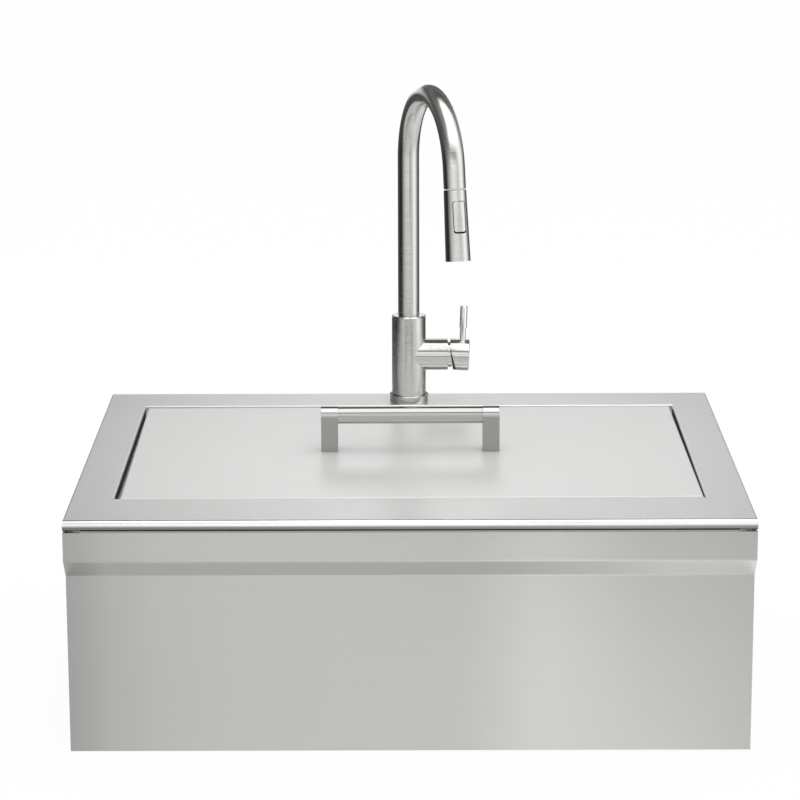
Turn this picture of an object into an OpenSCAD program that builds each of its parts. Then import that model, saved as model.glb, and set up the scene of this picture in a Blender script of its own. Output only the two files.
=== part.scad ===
// Outdoor farmhouse sink: apron front sheet body, deep bowl under a lift-off lid,
// bar handle and a pull-down mixer tap. Millimetres, +Z up, +Y away from the user,
// origin at the middle of the footprint on the apron's bottom edge.

/* [Sheet body] */
// Overall width across the side panels
body_w = 762; // [600:1:900]
// Overall depth from the front lip to the back edge
body_d = 610; // [500:1:700]
// Height from the apron's bottom edge to the deck
body_h = 275; // [240:1:320]
// Stainless sheet thickness
sheet_t = 1.5; // [1.2:0.1:2]
// Radius of the round front lip
lip_r = 6; // [4:0.5:8]
// Outer radius of the small folds
fold_r = 2; // [1.6:0.1:3]
// Inner radius of the apron's folds
bend_r = 3; // [2:0.5:6]
// How far the apron band stands behind the lip
band_inset = 1.5; // [0.5:0.5:4]
// Depth below the deck at which the apron step starts
band_bottom = 46.5; // [40:0.5:60]
// Height and set-back of the 45 degree apron step
step_size = 22.5; // [15:0.5:30]
// Width of the flat returns along the panels' edges
return_w = 18; // [12:1:25]
// Open seam between the lip and the apron band
seam_gap = 1.6; // [0.6:0.1:3]
// Height of the rail across the back
rail_h = 45; // [30:1:80]
// Height of the strips inside the seam
strip_h = 22; // [15:1:30]
// Fixing holes in each side panel
fix_hole = 6; // [4:0.5:8]
// First fixing hole behind the front lip
fix_front = 135; // [100:1:200]
// Last fixing hole in front of the back edge
fix_rear = 75; // [60:1:150]
// Fixing holes below the deck
fix_drop = 90; // [70:1:120]

/* [Lid opening] */
// Width of the deck beside the opening
open_side = 48.5; // [40:0.5:80]
// Width of the deck in front of the opening
open_front = 96; // [80:1:130]
// Width of the deck behind the opening
open_back = 66; // [64:1:90]
// Depth of the ledge on which the lid rests
recess_depth = 10.5; // [8:0.5:16]
// Width of that ledge
ledge_w = 23; // [20:1:30]

/* [Lid] */
// Gap between the lid's ends and its opening
lid_gap_x = 4.15; // [2.5:0.05:6]
// Gap in front of and behind the lid
lid_gap_y = 6.5; // [4.5:0.1:8]
// Height of the lid's folded edges
lid_h = 9; // [6:0.5:14]
// How far the lid sits to the right in its opening
lid_shift_x = 1.1; // [-3:0.1:3]
// How far the lid sits to the front in its opening
lid_shift_y = -3.4; // [-4:0.1:4]
// How far the lid is turned in its opening, degrees
lid_turn = 0.35; // [-0.5:0.05:0.5]
// Spacing of the handle posts
handle_pitch = 192; // [128:1:256]
// Handle post width
post_w = 20; // [14:0.5:26]
// Handle post depth, also the width of its round top
post_d = 21.5; // [14:0.5:26]
// Handle bar diameter
bar_dia = 20.5; // [12:0.5:24]
// Height of the bar's middle over the lid
bar_rise = 42.5; // [30:0.5:60]
// Diameter of the rubber lid rests
rest_dia = 9; // [6:0.5:10]
// Distance of the channel under the lid from the lid's ends
channel_end = 48; // [30:1:100]
// Width of that channel
channel_w = 64; // [40:1:90]
// Height of that channel
channel_h = 6; // [4:0.5:7]
// Handle screw diameter
screw_dia = 5; // [4:0.5:6]

/* [Bowl and waste] */
// Height of the bowl floor over the apron's bottom edge
floor_z = 77; // [70:1:120]
// Radius of the bowl's upright corners
bowl_corner_r = 25; // [15:1:60]
// Radius between the bowl's walls and floor
bowl_floor_r = 12; // [8:1:25]
// How far the waste sits behind the bowl's middle
waste_back = 60; // [0:5:140]
// Hole for the waste in the bowl floor
waste_hole = 90; // [88:0.5:92]
// Diameter of the stamped dish round the waste
dish_dia = 126; // [120:1:140]
// Depth of that dish
dish_depth = 3; // [2:0.5:5]
// Waste flange diameter
flange_dia = 113; // [108:1:116]
// Depth of the waste cup under the dish
cup_depth = 34; // [28:1:60]
// Outside diameter of the tail pipe
tail_dia = 38.1; // [32:0.1:40]
// Wall of the tail pipe
tail_wall = 1.2; // [1:0.1:2]
// Height of the tail pipe's end over the apron's bottom edge
tail_clear = 4; // [2:0.5:12]
// Thickness of the sound pads
pad_t = 3; // [2:0.5:6]
// Distance of the pads from the bowl's front and back walls
pad_end = 61; // [50:1:100]
// Distance of the side pads from the bowl's floor and rim
pad_rise = 40.5; // [30:0.5:60]
// Distance of the floor pads from the bowl's side walls
pad_side = 29.5; // [20:0.5:60]
// Gap between the two floor pads, for the waste
pad_split = 200; // [180:5:260]

/* [Tap body] */
// Tap axis to the back edge of the deck
tap_back = 37.7; // [32:0.1:60]
// Hole for the tap in the deck
tap_hole = 35; // [33:0.5:38]
// Base flange diameter
base_dia = 49; // [44:0.5:56]
// Base flange height
base_h = 9.2; // [5:0.1:12]
// Body diameter
tap_dia = 42.6; // [36:0.2:50]
// Height of the body's top over the deck
tap_h = 111.2; // [90:0.1:140]
// Height of the rim ring on the body
rim_h = 3; // [2:0.5:5]
// Height of the side valve axis over the deck
valve_z = 59.6; // [45:0.1:80]
// Side valve housing diameter
housing_dia = 39.7; // [34:0.1:42]
// Side valve housing end from the tap axis
housing_x = 49.3; // [44:0.1:60]
// Outside diameter of the threaded shank
shank_dia = 33; // [30:0.5:34]
// Length of the threaded shank under the deck
shank_l = 48; // [35:1:70]
// Diameter of the clamp washers under the deck
washer_dia = 52; // [44:1:54]
// Thickness of the plate that stiffens the deck at the tap
stiffener_t = 3; // [2:0.5:5]
// Width of that plate
stiffener_w = 170; // [100:5:240]
// Supply nipple diameter
nipple_dia = 6.8; // [6:0.1:7]

/* [Mixer lever] */
// Diameter of the neck between housing and lever hub
neck_dia = 32.6; // [24:0.1:34]
// Lever hub diameter
hub_dia = 39.9; // [36:0.1:42]
// Outer end of the lever hub from the tap axis
hub_x = 76.2; // [70:0.1:90]
// Slope of the hub's inner face, degrees
hub_slope = 16.5; // [10:0.5:20]
// Middle of the hub's inner face from the tap axis
hub_start = 55.5; // [54:0.1:60]
// Slope of the black seal's inner face, degrees
seal_slope = 10; // [5:0.5:12]
// Middle of the seal's inner face from the tap axis
seal_start = 53.5; // [53:0.1:55]
// Neck's end from the tap axis
neck_end = 54.5; // [53:0.1:56]
// Point about which the lever tips, from the tap axis
pivot_x = 52; // [50.5:0.1:54]
// How far the lever leans out when shut, degrees
lever_lean = 2.3; // [0:0.1:5]
// Where the lever rod leaves the hub, from the tap axis
lever_x = 67.4; // [62:0.1:74]
// Thin rod diameter
rod_dia = 7.3; // [6:0.1:9]
// Lever grip diameter
grip_dia = 9.1; // [7:0.1:11]
// Height of the grip's start over the valve axis
grip_start = 35.6; // [25:0.1:45]
// Height of the grip's top over the valve axis
grip_top = 63.6; // [50:0.1:80]

/* [Spout] */
// Spout tube diameter
tube_dia = 26.8; // [22:0.1:30]
// Spout tube wall
tube_wall = 1.3; // [1:0.1:2]
// Radius of the gooseneck
neck_r = 90.5; // [70:0.5:120]
// Height of the gooseneck's centre over the deck
neck_z = 311; // [260:1:340]
// Lean of the outlet away from upright, degrees
outlet_lean = 8.5; // [0:0.5:15]
// Straight length after the bend
outlet_l = 23.3; // [5:0.1:40]
// How far the spout is turned to the right, degrees
spout_turn = 17.5; // [-60:0.5:60]
// Pull-out hose diameter
hose_dia = 12; // [10:0.5:14]

/* [Spray head] */
// Length of the spray head
head_l = 85; // [70:1:110]
// Diameter at its top
head_top_dia = 27.2; // [24:0.1:32]
// Diameter at its bottom
head_end_dia = 30.2; // [26:0.1:36]
// Wall of its shell
head_wall = 1.6; // [1.2:0.1:2.5]
// Height of the pale docking ring
dock_h = 1.6; // [1.2:0.1:5]
// Button width
button_w = 14; // [10:0.1:18]
// Button length
button_l = 36; // [28:0.5:46]
// Button's top end below the head's top
button_drop = 13.5; // [8:0.5:25]
// Open joint round the button
button_gap = 0.7; // [0.3:0.1:1.5]
// Open gap under the button's lower end
thumb_gap = 2.2; // [0.5:0.1:4]
// Depth of the thumb hollow in the button
scoop_depth = 0.5; // [0.3:0.05:1.2]

/* [Fits] */
// Gap between pieces that are welded or bolted together on the same body
seat_gap = 0.05; // [0:0.01:0.1]
// Running clearance on the radius of turning parts
run_gap = 0.05; // [0.02:0.01:0.1]
// Clearance of loose and soft parts
soft_gap = 0.3; // [0.2:0.05:0.5]

/* [Hidden] */
$fn = 96;
over = 1;
steel = [0.78, 0.78, 0.77];
satin = [0.72, 0.72, 0.7];
polished = [0.9, 0.9, 0.89];
rubber = [0.12, 0.12, 0.13];
black_plastic = [0.16, 0.16, 0.17];
pale_plastic = [0.93, 0.93, 0.91];
brass = [0.75, 0.6, 0.33];
pad_grey = [0.3, 0.31, 0.32];

front_y = -body_d / 2;
back_y = body_d / 2;
side_x = body_w / 2;
deck_edge_h = 2 * lip_r;
band_y = front_y + band_inset;
bend_ro = bend_r + sheet_t;
step_z = body_h - band_bottom;
panel_top = body_h - deck_edge_h - seam_gap;
lower_y = band_y + step_size;
open_w = body_w - 2 * open_side;
open_d = body_d - open_front - open_back;
open_y = front_y + open_front + open_d / 2;
ledge_z = body_h - recess_depth;
bowl_top = ledge_z - sheet_t;
bowl_w = open_w - 2 * ledge_w;
bowl_d = open_d - 2 * ledge_w;
lid_w = open_w - 2 * lid_gap_x;
lid_d = open_d - 2 * lid_gap_y;
channel_l = lid_w - 2 * channel_end;
pad_l = bowl_d - 2 * pad_end;
pad_h = bowl_top - floor_z - 2 * pad_rise;
pad_w = (bowl_w - pad_split) / 2 - pad_side;
pad_x = (pad_split + pad_w) / 2;
waste_y = open_y + waste_back;
dish_z = floor_z - dish_depth;
dish_under = dish_z - sheet_t;
cup_z = dish_z - cup_depth;
cup_r = waste_hole / 2 - 1.5;
cup_t = 2;
rim_t = 1.8;
seal_r = waste_hole / 2 - 0.8;
gasket_t = 2.5;
slip_t = 1;
waste_stack = gasket_t + slip_t;
outlet_h = 14;
outlet_r = tail_dia / 2 + 1.2;
tail_top = cup_z - outlet_h - seat_gap;
tail_nut_z = tail_top - 6;
tail_swell = 0.3;
tail_flange_r = tail_dia / 2 + 2.4;
tail_flange_t = 1.5;
basket_h = cup_depth - 9;
basket_t = 1;
stopper_r = 13;
stopper_t = 3.5;
knob_r = 10;
knob_stem_r = 2.95;
tap_y = back_y - tap_back;
stiffener_d = 2 * (open_back - tap_back - sheet_t - soft_gap);
tube_r = tube_dia / 2;
tube_in = tube_r - tube_wall;
bush_r = tube_r + 4;
bush_h = 30;
bore_r = tube_r + 2.1;
housing_r = housing_dia / 2;
cartridge_r = 15;
cartridge_x = 24;
nut_l = 5;
hub_r = hub_dia / 2;
hub_wall = 1.6;
hub_front = pivot_x + 0.2;
stem_r = 4;
lever_pin_r = 1.5;
lever_pin_l = neck_dia - 3;
shank_in = 14.2;
washer_r = washer_dia / 2;
outlet_turn = 180 - outlet_lean;
head_top_gap = 0.3;
head_top = -dock_h - head_top_gap;
sleeve_r = 6.9;
dock_r = 12.3;
spigot_r = 9.2;
spigot_l = 9;
core_r = 8.2;
button_depth = 4.6;
button_corner = 2.6;
button_pivot = 0.3;
pin_r = 0.7;
pin_in = 3.5;
handle_y = 0;
screw_r = screw_dia / 2;
screw_head_r = screw_dia;
screw_head_h = 3;
screw_in = 14;
under_z = -sheet_t - stiffener_t;
hose_tail = 30;
tail_sleeve_t = 1.4;
nipple_bore = 30;

// Sub-part to show

// Places a flat outline drawn as (depth, height) and runs it along X about the middle
module run_x(length) {
    translate([-length / 2, 0, 0])
        rotate([90, 0, 90])
            linear_extrude(length)
                children();
}

// Places a flat outline drawn as (side, height) and runs it along Y from y0
module run_y(length, y0 = 0) {
    translate([0, y0 + length, 0])
        rotate([90, 0, 0])
            linear_extrude(length)
                children();
}

module ring(outer, inner, height, z = 0) {
    translate([0, 0, z])
        difference() {
            cylinder(r = outer, h = height);
            translate([0, 0, -over])
                cylinder(r = inner, h = height + 2 * over);
        }
}

module rounded_slab(w, d, h, r) {
    linear_extrude(h)
        union() {
            square([w - 2 * r, d], center = true);
            square([w, d - 2 * r], center = true);
            for (sx = [-1, 1])
                for (sy = [-1, 1])
                    translate([sx * (w / 2 - r), sy * (d / 2 - r)])
                        circle(r);
        }
}

// Top-rounded block outline, width w, height h hanging below zero
module cap_outline(w, h, r) {
    union() {
        translate([-w / 2, -h])
            square([w, h - r]);
        translate([-w / 2 + r, -h])
            square([w - 2 * r, h]);
        for (s = [-1, 1])
            translate([s * (w / 2 - r), -r])
                circle(r);
    }
}

// Folded tray: a flat top with four edges folded down
module folded_tray(w, d, h, r, t) {
    difference() {
        intersection() {
            rotate([90, 0, 90])
                translate([0, 0, -w])
                    linear_extrude(2 * w)
                        cap_outline(d, h, r);
            rotate([90, 0, 0])
                translate([0, 0, -d])
                    linear_extrude(2 * d)
                        cap_outline(w, h, r);
        }
        translate([-w / 2 + t, -d / 2 + t, -h - over])
            cube([w - 2 * t, d - 2 * t, h + over - t]);
    }
}

module deck_outline(inset) {
    union() {
        translate([front_y + lip_r, -lip_r])
            circle(lip_r - inset);
        translate([front_y + lip_r, -deck_edge_h + inset])
            square([body_d - lip_r - inset, deck_edge_h - fold_r - inset]);
        translate([front_y + lip_r, -deck_edge_h + inset])
            square([body_d - lip_r - fold_r, deck_edge_h - 2 * inset]);
        if (inset == 0)
            translate([back_y - fold_r, -fold_r])
                circle(fold_r);
    }
}

module deck_shell() {
    difference() {
        intersection() {
            run_x(body_w + 2 * over)
                deck_outline(0);
            run_y(body_d + 2 * over, front_y - over)
                cap_outline(body_w, deck_edge_h, fold_r);
        }
        run_x(body_w - 2 * sheet_t)
            deck_outline(sheet_t);
        translate([-side_x + sheet_t, front_y + lip_r + return_w, -deck_edge_h - over])
            cube([body_w - 2 * sheet_t, body_d - lip_r - return_w - sheet_t, 2 * over + sheet_t]);
    }
}

// Section of the sunk rim, u outward from the opening
module rim_fold() {
    intersection() {
        difference() {
            translate([fold_r, -fold_r])
                circle(fold_r);
            translate([fold_r, -fold_r])
                circle(fold_r - sheet_t);
        }
        translate([0, -fold_r])
            square(fold_r);
    }
}

module rim_wall() {
    translate([0, -recess_depth - sheet_t])
        square([sheet_t, recess_depth + sheet_t - fold_r]);
    translate([-ledge_w, -recess_depth - sheet_t])
        square([ledge_w + sheet_t, sheet_t]);
}

module rim_side(half, length, fold_l) {
    translate([half, 0, 0]) {
        run_y(fold_l, -fold_l / 2)
            rim_fold();
        run_y(length, -length / 2)
            rim_wall();
    }
}

module sunk_rim() {
    union() {
        for (s = [0, 180])
            rotate([0, 0, s])
                rim_side(open_w / 2, open_d + 2 * sheet_t, open_d + 2 * fold_r);
        for (s = [90, 270])
            rotate([0, 0, s])
                rim_side(open_d / 2, open_w + 2 * sheet_t, open_w + 2 * fold_r);
    }
}

module deck() {
    color(steel)
        translate([0, 0, body_h])
            union() {
                difference() {
                    deck_shell();
                    translate([0, open_y, -sheet_t - over])
                        linear_extrude(sheet_t + 2 * over)
                            square([open_w + 2 * fold_r, open_d + 2 * fold_r], center = true);
                    translate([0, tap_y, -sheet_t - over])
                        cylinder(d = tap_hole, h = sheet_t + 2 * over);
                }
                translate([0, open_y, 0])
                    sunk_rim();
            }
}

// Points of an arc, drawn from angle a0 to a1
function arc(c, r, a0, a1, n = 8) = [
    for (i = [0 : n])
        let (a = a0 + (a1 - a0) * i / n)
            [c[0] + r * cos(a), c[1] + r * sin(a)]
];

band_bend = [band_y + bend_ro, step_z + bend_ro * tan(22.5)];
step_bend = [lower_y - bend_r, step_z - step_size - bend_r * tan(22.5)];
foot_bend = [lower_y + bend_ro, bend_ro];

module apron_outline() {
    polygon(concat(
        [[band_y, panel_top]],
        arc(band_bend, bend_ro, 180, 225),
        arc(step_bend, bend_r, 45, 0),
        arc(foot_bend, bend_ro, 180, 270),
        [[lower_y + return_w, 0], [lower_y + return_w, sheet_t]],
        arc(foot_bend, bend_r, 270, 180),
        arc(step_bend, bend_ro, 0, 45),
        arc(band_bend, bend_r, 225, 180),
        [[band_y + sheet_t, panel_top]]
    ));
}

module front_apron() {
    color(satin)
        run_x(body_w)
            apron_outline();
}

module panel_outline() {
    polygon(concat(
        [[band_y + sheet_t, panel_top]],
        arc(band_bend, bend_r, 180, 225),
        arc(step_bend, bend_ro, 45, 0),
        arc(foot_bend, bend_r, 180, 270),
        [[lower_y + return_w, sheet_t], [lower_y + return_w, 0], [back_y, 0], [back_y, panel_top]]
    ));
}

module side_panel(hand) {
    inner = side_x - sheet_t;
    bottom_y = lower_y + return_w;
    union() {
        difference() {
            translate([hand > 0 ? inner : -side_x, 0, 0])
                rotate([90, 0, 90])
                    linear_extrude(sheet_t)
                        panel_outline();
            for (y = [front_y + fix_front, back_y - fix_rear])
                translate([0, y, body_h - fix_drop])
                    rotate([0, hand * 90, 0])
                        cylinder(d = fix_hole, h = body_w);
        }
        translate([hand > 0 ? inner - return_w : -inner, bottom_y, 0])
            cube([return_w, back_y - bottom_y, sheet_t]);
        translate([hand > 0 ? inner - return_w : -inner, back_y - sheet_t, rail_h + seam_gap])
            cube([return_w, sheet_t, panel_top - rail_h - seam_gap]);
    }
}

module side_panel_left() {
    color(satin)
        side_panel(-1);
}

module side_panel_right() {
    color(satin)
        side_panel(1);
}

module rear_rail() {
    length = body_w - 2 * sheet_t;
    color(satin)
        union() {
            translate([-length / 2, back_y - sheet_t, sheet_t])
                cube([length, sheet_t, rail_h - sheet_t]);
            translate([-length / 2, back_y - return_w, rail_h - sheet_t])
                cube([length, return_w, sheet_t]);
            translate([-length / 2 + return_w, back_y - return_w, 0])
                cube([length - 2 * return_w, return_w, sheet_t]);
        }
}

// Angle strip inside the seam between deck edge and side panel
module side_strip(hand) {
    face = side_x - sheet_t;
    length = body_d - 2 * (lip_r + return_w);
    translate([hand > 0 ? face - sheet_t : -face, -length / 2 + lip_r, panel_top - strip_h])
        cube([sheet_t, length, strip_h + seam_gap + deck_edge_h - sheet_t]);
}

module joint_strip_left() {
    color(satin)
        side_strip(-1);
}

module joint_strip_right() {
    color(satin)
        side_strip(1);
}

module joint_strip_front() {
    length = body_w - 2 * (sheet_t + return_w);
    y0 = band_y + sheet_t;
    color(satin)
        union() {
            translate([-length / 2, y0, panel_top - strip_h])
                cube([length, sheet_t, strip_h + seam_gap]);
            translate([-length / 2, y0, panel_top + seam_gap - sheet_t])
                cube([length, return_w, sheet_t]);
        }
}

module tap_stiffener() {
    color(satin)
        translate([0, tap_y, body_h - sheet_t - stiffener_t])
            difference() {
                rounded_slab(stiffener_w, stiffener_d, stiffener_t, 4);
                translate([0, 0, -over])
                    cylinder(d = tap_hole + 1, h = stiffener_t + 2 * over);
            }
}

// Bowl wall section, r from the corner axis, z from the floor
module bowl_section(reach) {
    top = bowl_top - floor_z;
    fillet = bowl_floor_r;
    bend = reach - fillet;
    union() {
        translate([reach, fillet])
            square([sheet_t, top - fillet]);
        translate([reach, top - sheet_t])
            square([12, sheet_t]);
        translate([0, -sheet_t])
            square([bend, sheet_t]);
        intersection() {
            difference() {
                translate([bend, fillet])
                    circle(fillet + sheet_t);
                translate([bend, fillet])
                    circle(fillet);
            }
            translate([bend, -sheet_t])
                square(fillet + sheet_t);
        }
    }
}

module basin() {
    cx = bowl_w / 2 - bowl_corner_r;
    cy = bowl_d / 2 - bowl_corner_r;
    dish_r = dish_dia / 2;
    hole_r = waste_hole / 2;
    color(steel)
        translate([0, open_y, floor_z])
            union() {
                for (q = [0 : 3])
                    translate([(q == 0 || q == 3 ? 1 : -1) * cx, (q < 2 ? 1 : -1) * cy, 0])
                        rotate([0, 0, 90 * q])
                            rotate_extrude(angle = 90)
                                bowl_section(bowl_corner_r);
                for (s = [0, 180])
                    rotate([0, 0, s])
                        translate([cx, 0, 0])
                            run_y(2 * cy, -cy)
                                bowl_section(bowl_corner_r);
                for (s = [90, 270])
                    rotate([0, 0, s])
                        translate([cy, 0, 0])
                            run_y(2 * cx, -cx)
                                bowl_section(bowl_corner_r);
                difference() {
                    translate([-cx, -cy, -sheet_t])
                        cube([2 * cx, 2 * cy, sheet_t]);
                    translate([0, waste_back, -sheet_t - over])
                        cylinder(r = dish_r, h = sheet_t + 2 * over);
                }
                translate([0, waste_back, 0])
                    rotate_extrude()
                        polygon([
                            [dish_r, 0],
                            [dish_r - 4, -dish_depth],
                            [hole_r, -dish_depth],
                            [hole_r, -dish_depth - sheet_t],
                            [dish_r - 3.4, -dish_depth - sheet_t],
                            [dish_r, -sheet_t]
                        ]);
            }
}

module sound_pads_side() {
    wall = bowl_w / 2 + sheet_t + seat_gap;
    mid_z = (floor_z + bowl_top) / 2;
    color(pad_grey)
        for (s = [0, 180])
            translate([0, open_y, mid_z])
                rotate([0, 0, s])
                    rotate([0, 90, 0])
                        translate([0, 0, wall])
                            rounded_slab(pad_h, pad_l, pad_t, 12);
}

module sound_pads_floor() {
    color(pad_grey)
        for (s = [-1, 1])
            translate([s * pad_x, open_y, floor_z - sheet_t - seat_gap - pad_t])
                rounded_slab(pad_w, pad_l, pad_t, 12);
}

module waste_body() {
    rim_r = flange_dia / 2;
    cup_end = -cup_depth - outlet_h;
    slot_r = 4;
    slot_ring = 10.5;
    color(polished)
        translate([0, waste_y, dish_z])
            union() {
                rotate_extrude()
                    polygon([
                        [rim_r, seat_gap],
                        [rim_r - 1, rim_t],
                        [cup_r - 1, rim_t],
                        [cup_r - 3, -3],
                        [cup_r - 2 * cup_t, cup_t - cup_depth],
                        [outlet_r - cup_t, cup_t - cup_depth],
                        [outlet_r - cup_t, cup_end],
                        [outlet_r, cup_end],
                        [outlet_r, -cup_depth],
                        [cup_r, -cup_depth],
                        [cup_r, seat_gap]
                    ]);
                difference() {
                    translate([0, 0, -cup_depth])
                        cylinder(r = outlet_r - 1, h = cup_t);
                    for (a = [0 : 60 : 300])
                        rotate([0, 0, a])
                            translate([slot_ring, 0, -cup_depth - over])
                                cylinder(r = slot_r, h = cup_t + 2 * over);
                }
            }
}

module waste_gasket() {
    color(rubber)
        translate([0, waste_y, 0])
            ring(flange_dia / 2, seal_r, gasket_t, dish_under - seat_gap - gasket_t);
}

module waste_slip_ring() {
    color(pale_plastic)
        translate([0, waste_y, 0])
            ring(flange_dia / 2 - 1, seal_r, slip_t, dish_under - 2 * seat_gap - waste_stack);
}

module waste_locknut() {
    nut_h = 12;
    nut_wall = 6;
    lug_w = 8;
    lug_h = nut_h - 2;
    color(brass)
        translate([0, waste_y, dish_under - 3 * seat_gap - waste_stack - nut_h])
            difference() {
                union() {
                    cylinder(r = waste_hole / 2 + nut_wall, h = nut_h);
                    for (a = [0 : 60 : 300])
                        rotate([0, 0, a])
                            translate([waste_hole / 2 + nut_wall / 2, -lug_w / 2, 0])
                                cube([nut_wall + 1, lug_w, lug_h]);
                }
                translate([0, 0, -over])
                    cylinder(r = cup_r + seat_gap, h = nut_h + 2 * over);
            }
}

module tailpiece() {
    tail_r = tail_dia / 2;
    color(polished)
        translate([0, waste_y, 0])
            rotate_extrude()
                polygon([
                    [tail_r - tail_wall, tail_clear],
                    [tail_r, tail_clear],
                    [tail_r, tail_nut_z - seat_gap],
                    [tail_r + tail_swell, tail_nut_z - seat_gap],
                    [tail_r + tail_swell, tail_top - tail_flange_t],
                    [tail_flange_r, tail_top - tail_flange_t],
                    [tail_flange_r, tail_top],
                    [tail_r - tail_wall, tail_top]
                ]);
}

module tailpiece_nut() {
    nut_h = 14;
    nut_r = tail_dia / 2 + 7;
    rib_w = 6;
    rib_out = 3;
    color(brass)
        translate([0, waste_y, tail_nut_z])
            difference() {
                union() {
                    cylinder(r = nut_r, h = nut_h);
                    for (a = [0 : 45 : 315])
                        rotate([0, 0, a])
                            translate([nut_r - 1, -rib_w / 2, 0])
                                cube([1 + rib_out, rib_w, nut_h - 3]);
                }
                translate([0, 0, -over])
                    cylinder(r = tail_dia / 2 + tail_swell + seat_gap, h = nut_h + 2 * over);
                translate([0, 0, tail_top - tail_flange_t - tail_nut_z - seat_gap])
                    cylinder(r = tail_flange_r + 0.1, h = nut_h);
            }
}

module basket() {
    seat_z = rim_t + seat_gap;
    side_r = cup_r - 6;
    hole_r = 2;
    color(polished)
        translate([0, waste_y, dish_z])
            difference() {
                rotate_extrude()
                    polygon([
                        [stopper_r - 8, -basket_h],
                        [side_r - 3, -basket_h],
                        [side_r, -basket_h + 3],
                        [side_r + basket_t, seat_z],
                        [cup_r + 1, seat_z],
                        [cup_r + 1, seat_z + basket_t],
                        [side_r, seat_z + basket_t],
                        [side_r - basket_t, -basket_h + 3 + basket_t],
                        [side_r - 3 - basket_t, -basket_h + basket_t],
                        [stopper_r - 8, -basket_h + basket_t]
                    ]);
                for (k = [0, 1])
                    for (a = [0 : 30 : 330])
                        rotate([0, 0, a + 15 * k])
                            translate([stopper_r + 1 + 9 * k, 0, -basket_h - over])
                                cylinder(r = hole_r, h = basket_t + 2 * over, $fn = 24);
            }
}

module basket_stopper() {
    hub_h = stopper_t + basket_t + 0.5;
    color(rubber)
        translate([0, waste_y, dish_z - basket_h - stopper_t])
            union() {
                ring(stopper_r, knob_stem_r + seat_gap, stopper_t - seat_gap);
                ring(stopper_r - 8 - seat_gap, knob_stem_r + seat_gap, hub_h);
            }
}

module basket_knob() {
    foot_h = 1;
    flare_h = 3;
    top_h = 2;
    color(polished)
        translate([0, waste_y, dish_z - basket_h - stopper_t - foot_h])
            union() {
                cylinder(r = knob_stem_r, h = basket_h + flare_h + foot_h);
                cylinder(r = 6, h = foot_h);
                translate([0, 0, basket_h + flare_h])
                    cylinder(r1 = 4, r2 = knob_r, h = flare_h);
                translate([0, 0, basket_h + 2 * flare_h])
                    cylinder(r = knob_r, h = top_h);
            }
}

// Rest place of the lid in its opening
module lid_place() {
    translate([lid_shift_x, open_y + lid_shift_y, body_h])
        rotate([0, 0, lid_turn])
            children();
}

module lid_panel() {
    color(steel)
        lid_place()
            difference() {
                folded_tray(lid_w, lid_d, lid_h, fold_r, sheet_t);
                for (s = [-1, 1])
                    translate([s * handle_pitch / 2, handle_y, -sheet_t - over])
                        cylinder(r = screw_r + 0.2, h = sheet_t + 2 * over);
            }
}

module lid_stiffener() {
    top = -sheet_t - seat_gap;
    color(satin)
        lid_place()
            difference() {
                union() {
                    translate([-channel_l / 2, -channel_w / 2, top - sheet_t])
                        cube([channel_l, channel_w, sheet_t]);
                    for (s = [-1, 1])
                        translate([0, s * (channel_w - sheet_t) / 2, top - channel_h / 2])
                            cube([channel_l, sheet_t, channel_h], center = true);
                }
                for (s = [-1, 1])
                    translate([s * handle_pitch / 2, handle_y, top - sheet_t - over])
                        cylinder(r = screw_r + 0.2, h = sheet_t + 2 * over);
            }
}

module lid_rests() {
    top = -sheet_t - seat_gap;
    reach = recess_depth + top - seat_gap;
    rest_in = sheet_t + rest_dia / 2 + 0.2;
    color(rubber)
        lid_place()
            for (sx = [-1, 1])
                for (sy = [-1, 1])
                    translate([sx * (lid_w / 2 - rest_in), sy * (lid_d / 2 - rest_in), top - reach])
                        cylinder(d = rest_dia, h = reach);
}

module handle_bar() {
    length = handle_pitch - post_w - 2 * seat_gap;
    color(steel)
        lid_place()
            translate([-length / 2, handle_y, bar_rise])
                rotate([0, 90, 0])
                    cylinder(d = bar_dia, h = length);
}

module handle_post(s) {
    lid_place()
        difference() {
            translate([s * handle_pitch / 2, handle_y, 0])
                union() {
                    translate([-post_w / 2, -post_d / 2, seat_gap])
                        cube([post_w, post_d, bar_rise - seat_gap]);
                    translate([-post_w / 2, 0, bar_rise])
                        rotate([0, 90, 0])
                            cylinder(d = post_d, h = post_w);
                }
            translate([s * handle_pitch / 2, handle_y, -over])
                cylinder(r = screw_r, h = screw_in + 2 + over);
        }
}

module handle_post_left() {
    color(satin)
        handle_post(-1);
}

module handle_post_right() {
    color(satin)
        handle_post(1);
}

module handle_screws() {
    head_z = -2 * sheet_t - 2 * seat_gap;
    color(steel)
        lid_place()
            for (s = [-1, 1])
                translate([s * handle_pitch / 2, handle_y, 0])
                    union() {
                        translate([0, 0, head_z - screw_head_h])
                            cylinder(r = screw_head_r, h = screw_head_h);
                        translate([0, 0, head_z])
                            cylinder(r = screw_r, h = screw_in - head_z);
                    }
}

// Tap pieces are drawn from the deck surface on the tap axis
module tap_place() {
    translate([0, tap_y, body_h])
        children();
}

module base_flange() {
    rim = 0.8;
    color(polished)
        tap_place()
            difference() {
                union() {
                    cylinder(d = base_dia, h = base_h - rim);
                    translate([0, 0, base_h - rim])
                        cylinder(d1 = base_dia, d2 = base_dia - 2 * rim, h = rim);
                }
                translate([0, 0, -over])
                    cylinder(d = shank_dia + 0.4, h = base_h + 2 * over);
                ring(base_dia / 2 - 1.5, shank_dia / 2 - over, 1.4 + over, -over);
            }
}

module base_gasket() {
    color(rubber)
        tap_place()
            ring(base_dia / 2 - 1.8, shank_dia / 2 + 0.3, 1.2, seat_gap);
}

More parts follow.
